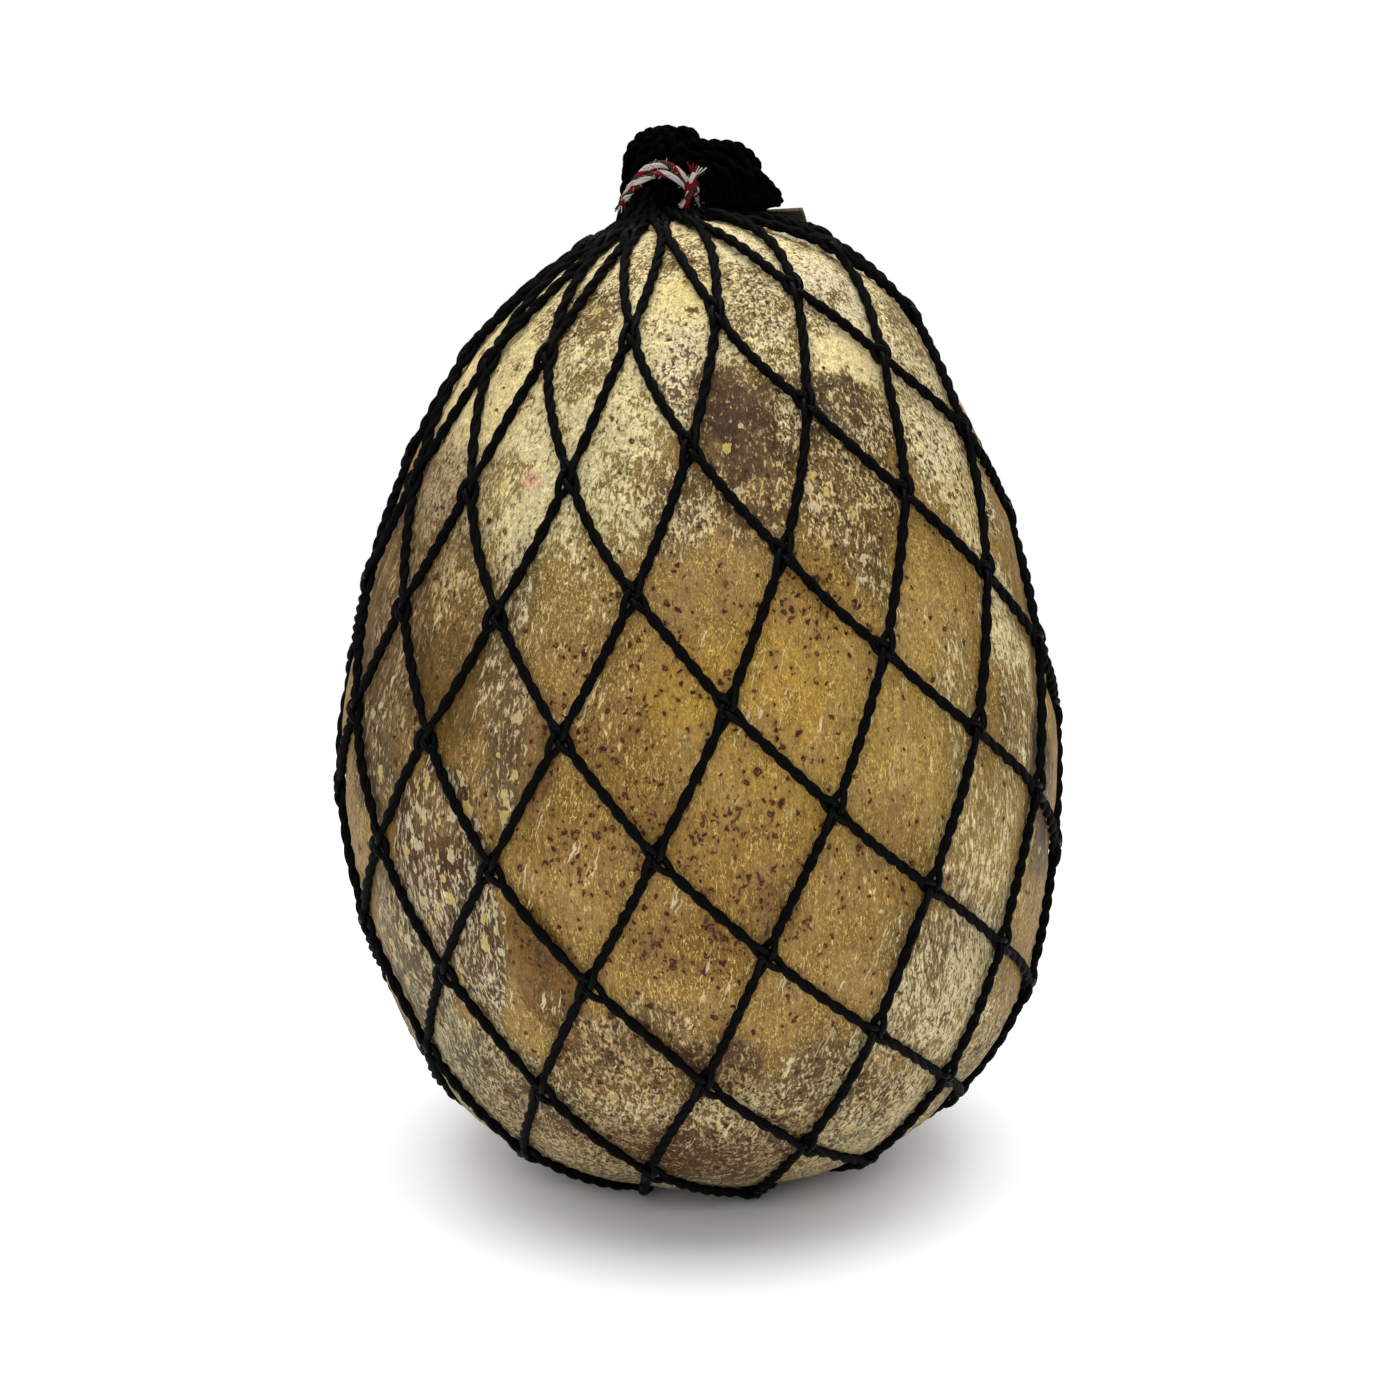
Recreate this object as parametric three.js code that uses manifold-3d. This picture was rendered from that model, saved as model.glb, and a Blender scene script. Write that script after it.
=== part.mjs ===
// Caciocavallo: an aged, egg-shaped stretched-curd cheese that stands in a black cord net.
// The net is gathered over the top into a folded tuft, tied with striped twine, and a card tag
// lies on the back of the gather. Millimetres, +Z up. The origin is the middle of the cheese's
// flat foot, +X is the right-hand side and -Y is the front.
import * as THREE from "three";
import { mergeVertices } from "three/addons/utils/BufferGeometryUtils.js";
import Module from "manifold-3d";

// Cheese: two half superellipses of revolution that meet at the girth, cut flat at the foot
const GIRTH_RADIUS = 75.2;
const GIRTH_HEIGHT = 92.7;
const CHEESE_HEIGHT = 201.3;
const FOOT_CUT = 1.5; // how much of the lower tip the flat foot takes off
const UPPER_POWER = { height: 1.35, radius: 2.32 };
const LOWER_POWER = { height: 2.47, radius: 2.52 };
const CHEESE_RINGS = 24;
const CHEESE_SECTORS = 44;

// The body leans a little to the right, low down and at the top
const LOW_LEAN = { amount: 1.8, height: 40, spread: 22 };
const TOP_LEAN = { amount: 2.4, from: 165, to: 200 };

// Net: a bag of equal bars, hung on an axis that bends backwards and to the right lower down
const CORD_DIAMETER = 2.5;
const CORD_HALF_HEIGHT = CORD_DIAMETER / 2; // a cord's section is a diamond: its half height off the rind
const CORD_HALF_WIDTH = 0.6 * CORD_DIAMETER; // and its half width along the rind
const MESHES_ROUND = 13;
const BAR_LENGTH = 28.5; // from knot to knot
const FIRST_KNOT_ARC = 12.1; // from the gather to the first ring of knots, along the rind
const LAST_KNOT_ARC = 10; // the last ring of knots stays at least this far from the closing knot
const NET_CENTRE_HEIGHT = 58.4; // the bend of the net's axis
const NET_TURN = THREE.MathUtils.degToRad(-131.9);
const TILT_BACK = { middle: THREE.MathUtils.degToRad(14.6), change: THREE.MathUtils.degToRad(27.5) };
const TILT_RIGHT = { middle: THREE.MathUtils.degToRad(-12.6), change: THREE.MathUtils.degToRad(-16.0) };
const SHORTEST_ROW = 0.2; // of a bar: the least height that a row of meshes keeps
const GAP = 0.3; // air between two solids that touch
const CHORD_SAG = 0.3; // how far a straight step dips towards the round rind
const FLOOR_GAP = 0.3; // the cords under the foot stay clear of the floor
const GATHER_RISE = 0.3; // extra lift of the cords where they climb to the gather
const GATHER_REACH = 26; // the arc over which they climb
const STRAND_END_ARC = 5.6; // the strands end inside the collar and the closing knot
const PRESSED_MARGIN = 1.2; // a cord this little above the foot's cords still has its groove
const WIDEST_FORK = 8; // how far from a knot two bars part at the most
const NEIGHBOUR_SHARE = 0.42; // of the space between two bars that one of them may take

// Collar of the gather, and the knot that closes the net under the back
const COLLAR = { foot: 7.4, belly: 7.7, waist: 6.2, height: 2.9, sectors: 16 };
const CLOSING_KNOT = { radius: 6.6, thickness: 3.2 };
const CLOSING_ROOM = { radius: 2.4, thickness: 1.2 }; // the pocket in the foot is wider and deeper by this

// Grooves that the cords press into the foot
const GROOVE_RADIUS = 3;
const GROOVE_SIDES = 6;
const GROOVE_DROP = 0.9;
const GROOVE_PARTS = [-0.1, 0.5, 1.1]; // of a bar: a groove runs a little past both of its knots

// Tuft: the folded end of the net, a bun over the collar and a tail that droops to the right
const BUN = { x: -8.5, y: -0.6, foot: 204.8, height: 14.6, radius: 7.2 };
const BUN_SIDE = [[0.74, 0], [1, 0.22], [0.98, 0.55], [0.72, 0.86], [0, 1]]; // of its radius and height
const BUN_STEPS = 7;
const TAIL = { x: 5.2, y: -0.6, z: 211.0, rx: 10.6, ry: 6.6, rz: 6.0, droop: 0.3 };
const TAIL_TIP = { x: 13.4, y: -1.4, z: 207.4, rx: 5.4, ry: 4.4, rz: 3.1, droop: 0.5 };
const RIDGES = 11; // cords that lie side by side round a lump
const RIDGE_DEPTH = 0.07; // of the lump's radius
const LOOSE_LOOPS = 7;
const LOOP_FAN = { x: 2, z: 206.5, from: 1.85, to: 0.12, across: 15.6, up: 11.6, root: 0.7 };
const LOOP_DEPTH = { half: 3.0, stagger: 1.6 }; // along Y

// Twine: two turns that arch over the front of the bun, a knot on the right and short tails
const TWINE_DIAMETER = 1.9;
const TWINE_SIDES = 5;
const TWINE_RING = { radius: 7.9, height: 206.6, frontRise: 6.2, backRise: 2.4 };
const TWINE_TURN_PITCH = 1.75;
const TWINE_STEPS = 18;
const TWINE_OVERLAP = 1.02; // a turn runs a little past its start, inside the knot
const TWINE_KNOT = { radius: 1.9, angle: 1.05 };
const TWINE_TAILS = [new THREE.Vector3(1.4, -1.5, 5.4), new THREE.Vector3(-1.2, -1.6, -3.2)];
const LEFT_TAIL = { angle: -1.35, drop: 2.6 };

// Tag: a small plain card, bent over the back slope of the gather
const TAG = { width: 11, length: 26, thickness: 0.8, bend: 56 };
const TAG_CORNER = { x: 21.6, y: 4.6, z: 205.3 };
const TAG_SLOPE = THREE.MathUtils.degToRad(11); // at its front edge
const TAG_YAW = THREE.MathUtils.degToRad(-8);
const TAG_ROLL = THREE.MathUtils.degToRad(-3);

const X_AXIS = new THREE.Vector3(1, 0, 0);
const Y_AXIS = new THREE.Vector3(0, 1, 0);
const Z_AXIS = new THREE.Vector3(0, 0, 1);

const wasm = await Module();
wasm.setup();

// A closed three.js geometry as a solid that can be joined and cut.
function toSolid(geometry) {
  const bare = geometry.clone();
  bare.deleteAttribute("normal");
  bare.deleteAttribute("uv");
  const merged = mergeVertices(bare, 1e-4);
  const mesh = new wasm.Mesh({
    numProp: 3,
    vertProperties: new Float32Array(merged.attributes.position.array),
    triVerts: new Uint32Array(merged.index.array),
  });
  return new wasm.Manifold(mesh);
}

// A solid as a three.js geometry.
function toGeometry(solid) {
  const mesh = solid.getMesh();
  const geometry = new THREE.BufferGeometry();
  geometry.setAttribute("position", new THREE.BufferAttribute(mesh.vertProperties, mesh.numProp));
  geometry.setIndex(new THREE.BufferAttribute(mesh.triVerts, 1));
  geometry.computeVertexNormals();
  return geometry;
}

// Joins a list of solids.
function joined(solids) {
  return solids.reduce((all, next) => all.add(next));
}

// The main body of a solid, with loose scraps dropped and sealed pockets filled.
function mainBody(solid) {
  return solid.decompose().reduce((best, next) => (next.volume() > best.volume() ? next : best));
}

// A regular polygon with the same area as a circle of the given radius.
function cordSection(radius, sides) {
  const turn = (2 * Math.PI) / sides;
  const corner = radius * Math.sqrt(turn / Math.sin(turn));
  const points = [];
  for (let i = 0; i < sides; i += 1) {
    points.push(new THREE.Vector2(corner * Math.cos(i * turn), corner * Math.sin(i * turn)));
  }
  return new THREE.Shape(points);
}

// A cord of the given diameter through a row of points.
function cordSolid(points, diameter, sides, steps) {
  const geometry = new THREE.ExtrudeGeometry(cordSection(diameter / 2, sides), {
    steps,
    extrudePath: new THREE.CatmullRomCurve3(points),
  });
  return toSolid(geometry);
}

// Presses the ridges of cords lying side by side into a shape round the Y axis.
function ridged(geometry) {
  const position = geometry.attributes.position;
  for (let i = 0; i < position.count; i += 1) {
    const x = position.getX(i);
    const z = position.getZ(i);
    const grow = 1 + RIDGE_DEPTH * Math.cos(RIDGES * Math.atan2(z, x));
    position.setX(i, x * grow);
    position.setZ(i, z * grow);
  }
  return geometry;
}

// A lump of cords that run from left to right, with its right-hand side drooping.
function lumpSolid({ x, y, z, rx, ry, rz, droop }) {
  const geometry = ridged(new THREE.SphereGeometry(1, 2 * RIDGES, 8));
  geometry.rotateZ(Math.PI / 2);
  geometry.scale(rx, ry, rz);
  geometry.rotateY(droop);
  geometry.translate(x, y, z);
  return toSolid(geometry);
}

// Where a point lies between the axis (0), the uncut rind (1) and the outside (above 1).
function rindMeasure(radius, z) {
  const upper = z > GIRTH_HEIGHT;
  const power = upper ? UPPER_POWER : LOWER_POWER;
  const rise = upper ? CHEESE_HEIGHT - GIRTH_HEIGHT : GIRTH_HEIGHT + FOOT_CUT;
  const height = Math.abs(z - GIRTH_HEIGHT) / rise;
  return height ** power.height + (radius / GIRTH_RADIUS) ** power.radius;
}

// Sideways lean of the body's middle line at a height.
function lean(z) {
  const low = LOW_LEAN.amount * Math.exp(-(((z - LOW_LEAN.height) / LOW_LEAN.spread) ** 2));
  return low + TOP_LEAN.amount * THREE.MathUtils.smoothstep(z, TOP_LEAN.from, TOP_LEAN.to);
}

// Radius of the upright body at a height.
function rindRadius(z) {
  const upper = z > GIRTH_HEIGHT;
  const power = upper ? UPPER_POWER : LOWER_POWER;
  const rise = upper ? CHEESE_HEIGHT - GIRTH_HEIGHT : GIRTH_HEIGHT + FOOT_CUT;
  const height = Math.min(Math.abs(z - GIRTH_HEIGHT) / rise, 1);
  return GIRTH_RADIUS * (1 - height ** power.height) ** (1 / power.radius);
}

// Distance from the net's centre to the rind, along a unit direction.
function reach(direction) {
  const halvings = 45;
  const flat = Math.hypot(direction.x, direction.y);
  let near = 0;
  let far = 2 * CHEESE_HEIGHT;
  for (let i = 0; i < halvings; i += 1) {
    const middle = (near + far) / 2;
    const outside = rindMeasure(middle * flat, NET_CENTRE_HEIGHT + middle * direction.z) > 1;
    if (outside) far = middle;
    else near = middle;
  }
  return near;
}

// Outward normal of the upright body at a point.
function rindNormal(point) {
  const step = 0.05;
  const radius = Math.hypot(point.x, point.y);
  const byRadius = rindMeasure(radius + step, point.z) - rindMeasure(Math.abs(radius - step), point.z);
  const byHeight = rindMeasure(radius, point.z + step) - rindMeasure(radius, point.z - step);
  const away = new THREE.Vector3(point.x, point.y, 0);
  if (radius > step) away.multiplyScalar(byRadius / radius);
  else away.setScalar(0);
  away.z = byHeight;
  return away.normalize();
}

// The net's rows against the angle from the gather: bars keep their length, so a row is lower
// where the body is wider.
function measureRows() {
  const samples = 720;
  const table = [];
  let arc = 0;
  let row = 0;
  let last = null;
  for (let i = 0; i <= samples; i += 1) {
    const angle = (Math.PI * i) / samples;
    const away = reach(new THREE.Vector3(Math.sin(angle), 0, Math.cos(angle)));
    const point = new THREE.Vector2(away * Math.sin(angle), away * Math.cos(angle));
    if (last) {
      const step = point.distanceTo(last);
      const half = (Math.PI * (point.x + last.x)) / 2 / MESHES_ROUND;
      const tall = Math.sqrt(Math.max(BAR_LENGTH ** 2 - half ** 2, (SHORTEST_ROW * BAR_LENGTH) ** 2));
      arc += step;
      row += step / tall;
    }
    table.push({ angle, arc, row });
    last = point;
  }
  return table;
}

const ROWS = measureRows();

// Reads one column of the row table at a value of another.
function readRows(from, to, value) {
  let i = 1;
  while (i < ROWS.length - 1 && ROWS[i][from] < value) i += 1;
  const a = ROWS[i - 1];
  const b = ROWS[i];
  return a[to] + ((value - a[from]) / (b[from] - a[from])) * (b[to] - a[to]);
}

const TOTAL_ARC = ROWS[ROWS.length - 1].arc;
const FIRST_KNOT_ROW = readRows("arc", "row", FIRST_KNOT_ARC);

// Direction from the net's centre, by the angle from the gather and the turn about the net's axis.
function netDirection(angle, turn) {
  const part = angle / Math.PI - 0.5;
  const direction = new THREE.Vector3(
    Math.sin(angle) * Math.cos(turn),
    Math.sin(angle) * Math.sin(turn),
    Math.cos(angle),
  );
  direction.applyAxisAngle(Y_AXIS, TILT_RIGHT.middle + TILT_RIGHT.change * part);
  return direction.applyAxisAngle(X_AXIS, TILT_BACK.middle + TILT_BACK.change * part);
}

// The point of the rind under a place of the net, and the rind's normal there.
function rindPlace(angle, turn) {
  const direction = netDirection(angle, turn);
  const point = direction.clone().multiplyScalar(reach(direction));
  point.z += NET_CENTRE_HEIGHT;
  return { point, normal: rindNormal(point) };
}

const CORD_LIFT = CORD_HALF_HEIGHT + GAP + CHORD_SAG;
const LOWEST_CORD = CORD_HALF_HEIGHT + FLOOR_GAP;
const STRAND_START_ROW = readRows("arc", "row", STRAND_END_ARC) - FIRST_KNOT_ROW;
const STRAND_END_ROW = readRows("arc", "row", TOTAL_ARC - STRAND_END_ARC) - FIRST_KNOT_ROW;
const LAST_ROW = Math.floor(readRows("arc", "row", TOTAL_ARC - LAST_KNOT_ARC) - FIRST_KNOT_ROW);

// A place on a cord's middle line, with the way out from the rind. Row 0 is the first ring of
// knots, and col counts half meshes. Under the foot the cord is pressed up into the cheese.
function cordPlace(row, col) {
  const angle = readRows("row", "angle", row + FIRST_KNOT_ROW);
  const arc = readRows("row", "arc", row + FIRST_KNOT_ROW);
  const { point, normal } = rindPlace(angle, NET_TURN + (Math.PI * col) / MESHES_ROUND);
  const climb = 1 - THREE.MathUtils.smoothstep(arc, 0, GATHER_REACH);
  point.addScaledVector(normal, CORD_LIFT + GATHER_RISE * climb);
  point.x += lean(point.z);
  const pressed = point.z < LOWEST_CORD + PRESSED_MARGIN;
  if (point.z < LOWEST_CORD) {
    point.z = LOWEST_CORD;
    normal.set(0, 0, -1);
  }
  return { point, normal, pressed };
}

// Collects vertices and faces of the net, where all bars share the vertices of their knots.
class Lattice {
  constructor() {
    this.positions = [];
    this.faces = [];
  }

  vertex(point) {
    this.positions.push(point.x, point.y, point.z);
    return this.positions.length / 3 - 1;
  }

  // Joins two rings of four vertices that run anticlockwise round the way from one to the other.
  tube(from, to) {
    for (let k = 0; k < 4; k += 1) {
      const next = (k + 1) % 4;
      this.faces.push(from[k], from[next], to[next], from[k], to[next], to[k]);
    }
  }

  cap(ring) {
    this.faces.push(ring[0], ring[1], ring[2], ring[0], ring[2], ring[3]);
  }

  // A ring round a cord that runs along a direction.
  ring({ point, normal }, along, halfWidth) {
    const side = along.clone().cross(normal).normalize();
    return [
      this.vertex(point.clone().addScaledVector(normal, CORD_HALF_HEIGHT)),
      this.vertex(point.clone().addScaledVector(side, halfWidth)),
      this.vertex(point.clone().addScaledVector(normal, -CORD_HALF_HEIGHT)),
      this.vertex(point.clone().addScaledVector(side, -halfWidth)),
    ];
  }

  geometry() {
    const geometry = new THREE.BufferGeometry();
    geometry.setAttribute("position", new THREE.Float32BufferAttribute(this.positions, 3));
    geometry.setIndex(this.faces);
    return geometry;
  }
}

// The fork between two neighbouring bars of a knot, where their sides meet.
function forkPoint({ point, normal }, from, to) {
  const turn = Math.atan2(normal.dot(from.clone().cross(to)), from.dot(to));
  const half = (turn < 0 ? turn + 2 * Math.PI : turn) / 2;
  const away = Math.min(CORD_HALF_WIDTH / Math.sin(half), WIDEST_FORK);
  return point.clone().addScaledVector(from.clone().applyAxisAngle(normal, half), away);
}

// Direction from one place to another, along the rind at the first.
function heading({ point, normal }, target) {
  return target.point.clone().sub(point).projectOnPlane(normal).normalize();
}

// A knot's place, its top and bottom vertices, and the forks between its bars.
function makeKnot(lattice, row, col) {
  const place = cordPlace(row, col);
  const down = row < LAST_ROW;
  const bars = [];
  if (row > 0) {
    bars.push(heading(place, cordPlace(row - 0.5, col + 0.5)));
    bars.push(heading(place, cordPlace(row - 0.5, col - 0.5)));
  } else {
    bars.push(heading(place, cordPlace(STRAND_START_ROW, col)));
  }
  if (down) {
    bars.push(heading(place, cordPlace(row + 0.5, col - 0.5)));
    bars.push(heading(place, cordPlace(row + 0.5, col + 0.5)));
  } else {
    bars.push(heading(place, cordPlace(STRAND_END_ROW, col)));
  }
  const forks = bars.map((bar, i) => lattice.vertex(forkPoint(place, bar, bars[(i + 1) % bars.length])));
  const [above, left, below, right] =
    bars.length === 4 ? forks : row > 0 ? [forks[0], forks[1], null, forks[2]] : [null, ...forks];
  return {
    place,
    col,
    above,
    left,
    below,
    right,
    top: lattice.vertex(place.point.clone().addScaledVector(place.normal, CORD_HALF_HEIGHT)),
    bottom: lattice.vertex(place.point.clone().addScaledVector(place.normal, -CORD_HALF_HEIGHT)),
  };
}

// The lattice of the net's sides: rings of knots, two bars down from each, and a single strand
// from each end knot into the collar or the closing knot.
function netLattice() {
  const lattice = new Lattice();
  const rings = [];
  for (let row = 0; row <= LAST_ROW; row += 1) {
    const ring = [];
    for (let i = 0; i < MESHES_ROUND; i += 1) ring.push(makeKnot(lattice, row, 2 * i + (row % 2)));
    rings.push(ring);
  }
  for (let row = 0; row < LAST_ROW; row += 1) {
    for (let i = 0; i < MESHES_ROUND; i += 1) {
      const knot = rings[row][i];
      for (const hand of [1, -1]) {
        const shift = row % 2 === 0 ? (hand - 1) / 2 : (hand + 1) / 2;
        const under = rings[row + 1][(i + shift + MESHES_ROUND) % MESHES_ROUND];
        const middle = cordPlace(row + 0.5, knot.col + 0.5 * hand);
        const beside = cordPlace(row + 0.5, knot.col - 0.5 * hand);
        const space = NEIGHBOUR_SHARE * middle.point.distanceTo(beside.point);
        const along = under.place.point.clone().sub(knot.place.point);
        const ring = lattice.ring(middle, along, Math.min(CORD_HALF_WIDTH, space));
        const start = hand > 0 ? [knot.below, knot.right] : [knot.left, knot.below];
        const end = hand > 0 ? [under.left, under.above] : [under.above, under.right];
        lattice.tube([knot.top, start[0], knot.bottom, start[1]], ring);
        lattice.tube(ring, [under.top, end[0], under.bottom, end[1]]);
      }
    }
  }
  const ends = [
    [rings[0], STRAND_START_ROW, 1],
    [rings[LAST_ROW], STRAND_END_ROW, -1],
  ];
  for (const [knots, row, hand] of ends) {
    for (const knot of knots) {
      const sides = hand > 0 ? [knot.right, knot.left] : [knot.left, knot.right];
      const start = hand > 0 ? 0 : LAST_ROW;
      let last = [knot.top, sides[0], knot.bottom, sides[1]];
      for (const part of [0.5, 1]) {
        const tip = cordPlace(start + part * (row - start), knot.col);
        const beside = cordPlace(start + part * (row - start), knot.col + 2);
        const space = NEIGHBOUR_SHARE * tip.point.distanceTo(beside.point);
        const along = tip.point.clone().sub(knot.place.point);
        const ring = lattice.ring(tip, along, Math.min(CORD_HALF_WIDTH, space));
        lattice.tube(last, ring);
        last = ring;
      }
      lattice.cap(last);
    }
  }
  return toSolid(lattice.geometry());
}

// The body of revolution, leaning as the real one does, with its flat foot at z = 0.
function eggSolid() {
  const profile = [new THREE.Vector2(0, 0)];
  const lowest = Math.asin(GIRTH_HEIGHT / (GIRTH_HEIGHT + FOOT_CUT));
  for (let i = 0; i <= CHEESE_RINGS; i += 1) {
    const swing = -lowest + ((lowest + Math.PI / 2) * i) / CHEESE_RINGS;
    const rise = swing > 0 ? CHEESE_HEIGHT - GIRTH_HEIGHT : GIRTH_HEIGHT + FOOT_CUT;
    const z = i === 0 ? 0 : GIRTH_HEIGHT + rise * Math.sin(swing);
    profile.push(new THREE.Vector2(i === CHEESE_RINGS ? 0 : rindRadius(z), z));
  }
  const geometry = new THREE.LatheGeometry(profile, CHEESE_SECTORS);
  geometry.rotateX(Math.PI / 2);
  const position = geometry.attributes.position;
  for (let i = 0; i < position.count; i += 1) {
    position.setX(i, position.getX(i) + lean(position.getZ(i)));
  }
  return toSolid(geometry);
}

// Grooves over the cords that are pressed into the foot, open towards the floor.
function grooveSolids() {
  const runs = [];
  for (let i = 0; i < MESHES_ROUND; i += 1) {
    for (let row = 0; row < LAST_ROW; row += 1) {
      const col = 2 * i + (row % 2);
      for (const hand of [1, -1]) {
        runs.push(GROOVE_PARTS.map((part) => cordPlace(row + part, col + hand * part)));
      }
    }
    const col = 2 * i + (LAST_ROW % 2);
    const down = STRAND_END_ROW - LAST_ROW;
    runs.push(GROOVE_PARTS.map((part) => cordPlace(LAST_ROW + part * down, col)));
  }
  return runs
    .filter((places) => places.some(({ pressed }) => pressed))
    .map((places) => {
      const points = places.map(({ point }) => point.clone().addScaledVector(Z_AXIS, -GROOVE_DROP));
      return cordSolid(points, 2 * GROOVE_RADIUS, GROOVE_SIDES, 2);
    });
}

// A flat round knob on the rind, with its axis along the rind's normal.
function knobAt({ point, normal }, radius, thickness, lift) {
  const geometry = new THREE.SphereGeometry(1, 12, 8);
  geometry.rotateX(Math.PI / 2);
  geometry.scale(radius, radius, thickness / 2);
  geometry.applyQuaternion(new THREE.Quaternion().setFromUnitVectors(Z_AXIS, normal));
  const middle = point.clone().addScaledVector(normal, lift);
  geometry.translate(middle.x + lean(point.z), middle.y, middle.z);
  return toSolid(geometry);
}

// The collar that the strands run up into, standing on the rind at the gather.
function collarSolid() {
  const { point, normal } = rindPlace(0, 0);
  const profile = [
    new THREE.Vector2(0, GAP + CHORD_SAG),
    new THREE.Vector2(COLLAR.foot, GAP + CHORD_SAG),
    new THREE.Vector2(COLLAR.belly, COLLAR.height / 2),
    new THREE.Vector2(COLLAR.waist, COLLAR.height),
    new THREE.Vector2(0, COLLAR.height),
  ];
  const geometry = new THREE.LatheGeometry(profile, COLLAR.sectors);
  geometry.rotateX(Math.PI / 2);
  geometry.applyQuaternion(new THREE.Quaternion().setFromUnitVectors(Z_AXIS, normal));
  geometry.translate(point.x + lean(point.z), point.y, point.z);
  return toSolid(geometry);
}

const closingPlace = rindPlace(Math.PI, 0);

// The whole net: its sides, the collar at the top and the knot underneath.
function netSolid() {
  const closing = knobAt(closingPlace, CLOSING_KNOT.radius, CLOSING_KNOT.thickness, CORD_LIFT);
  return mainBody(joined([netLattice(), collarSolid(), closing]));
}

// The cheese, with room underneath for the cords and the closing knot.
function cheeseSolid() {
  const pocket = knobAt(
    closingPlace,
    CLOSING_KNOT.radius + CLOSING_ROOM.radius,
    CLOSING_KNOT.thickness + CLOSING_ROOM.thickness,
    CORD_LIFT,
  );
  return mainBody(eggSolid().subtract(joined([pocket, ...grooveSolids()])));
}

// The bun: cords that come up from the collar, bulge and fold over at the top.
function bunSolid() {
  const side = BUN_SIDE.map(([out, up]) => new THREE.Vector2(out * BUN.radius, up * BUN.height));
  const profile = new THREE.SplineCurve(side).getPoints(BUN_STEPS);
  profile.unshift(new THREE.Vector2(0, 0));
  profile[profile.length - 1].x = 0;
  const turned = new THREE.LatheGeometry(profile, 2 * RIDGES).rotateY(Math.PI / 2);
  const geometry = ridged(turned);
  geometry.rotateX(Math.PI / 2);
  geometry.translate(BUN.x, BUN.y, BUN.foot);
  return toSolid(geometry);
}

// Folded cords that stand off the tuft, fanned from the top of the bun to the tip of the tail.
function looseLoops() {
  const loops = [];
  for (let i = 0; i < LOOSE_LOOPS; i += 1) {
    const angle = LOOP_FAN.from + ((LOOP_FAN.to - LOOP_FAN.from) * i) / (LOOSE_LOOPS - 1);
    const points = [-1, -0.5, 0, 0.5, 1].map((part) => {
      const out = 1 - (1 - LOOP_FAN.root) * part * part;
      return new THREE.Vector3(
        LOOP_FAN.x + LOOP_FAN.across * out * Math.cos(angle),
        BUN.y + LOOP_DEPTH.half * part + LOOP_DEPTH.stagger * (-1) ** i,
        LOOP_FAN.z + LOOP_FAN.up * out * Math.sin(angle),
      );
    });
    loops.push(cordSolid(points, CORD_DIAMETER, 4, 4));
  }
  return loops;
}

// A point of the twine: a ring round the bun whose front stands up as an arch. Angle 0 is the front.
function twinePoint(angle, turn) {
  const front = Math.cos(angle);
  const rise = front > 0 ? TWINE_RING.frontRise : TWINE_RING.backRise;
  return new THREE.Vector3(
    BUN.x + TWINE_RING.radius * Math.sin(angle),
    BUN.y - TWINE_RING.radius * front,
    TWINE_RING.height + rise * front * front + TWINE_TURN_PITCH * turn * front * front,
  );
}

// The twine, grown all over by a gap where it has to leave room.
function twineSolid(grow = 0) {
  const diameter = TWINE_DIAMETER + 2 * grow;
  const pieces = [];
  for (const turn of [0, 1]) {
    const points = [];
    for (let k = 0; k <= TWINE_STEPS; k += 1) {
      const angle = TWINE_KNOT.angle + (2 * Math.PI * TWINE_OVERLAP * k) / TWINE_STEPS;
      points.push(twinePoint(angle, turn));
    }
    pieces.push(cordSolid(points, diameter, TWINE_SIDES, TWINE_STEPS));
  }
  const knot = twinePoint(TWINE_KNOT.angle, 0.5);
  const ball = new THREE.IcosahedronGeometry(TWINE_KNOT.radius + grow, 1);
  ball.translate(knot.x, knot.y, knot.z);
  pieces.push(toSolid(ball));
  for (const tail of TWINE_TAILS) {
    const bend = knot.clone().addScaledVector(tail, 0.5).add(new THREE.Vector3(0.4, -0.5, 0));
    const end = knot.clone().addScaledVector(tail, 1 + grow / tail.length());
    pieces.push(cordSolid([knot, bend, end], diameter, TWINE_SIDES, 3));
  }
  const leftTop = twinePoint(LEFT_TAIL.angle, 0);
  const leftEnd = leftTop.clone().add(new THREE.Vector3(-0.5, -0.4, -LEFT_TAIL.drop - grow));
  pieces.push(cordSolid([leftTop, leftEnd], diameter, TWINE_SIDES, 2));
  return joined(pieces);
}

// The tuft, with room for the twine that goes round it.
function tuftSolid() {
  const whole = joined([bunSolid(), lumpSolid(TAIL), lumpSolid(TAIL_TIP), ...looseLoops()]);
  return mainBody(whole.subtract(twineSolid(GAP)));
}

// The card: its bent side view, extruded to its width, with its front right corner at TAG_CORNER.
function tagSolid() {
  const { width, length, thickness, bend } = TAG;
  const from = Math.PI / 2 - TAG_SLOPE;
  const to = from - length / bend;
  const sideView = new THREE.Shape();
  sideView.absarc(0, 0, bend + thickness, from, to, true);
  sideView.absarc(0, 0, bend, to, from, false);
  const geometry = new THREE.ExtrudeGeometry(sideView, {
    depth: width,
    bevelEnabled: false,
    curveSegments: 8,
  });
  geometry.translate(-bend * Math.cos(from), -bend * Math.sin(from), -width);
  geometry.applyMatrix4(new THREE.Matrix4().makeBasis(Y_AXIS, Z_AXIS, X_AXIS));
  geometry.rotateY(TAG_ROLL);
  geometry.rotateZ(TAG_YAW);
  geometry.translate(TAG_CORNER.x, TAG_CORNER.y, TAG_CORNER.z);
  return toSolid(geometry);
}

// One named mesh with its finish.
function piece(name, solid, colour, roughness) {
  const material = new THREE.MeshStandardMaterial({ color: colour, roughness, metalness: 0 });
  const mesh = new THREE.Mesh(toGeometry(solid), material);
  mesh.name = name;
  return mesh;
}

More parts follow.
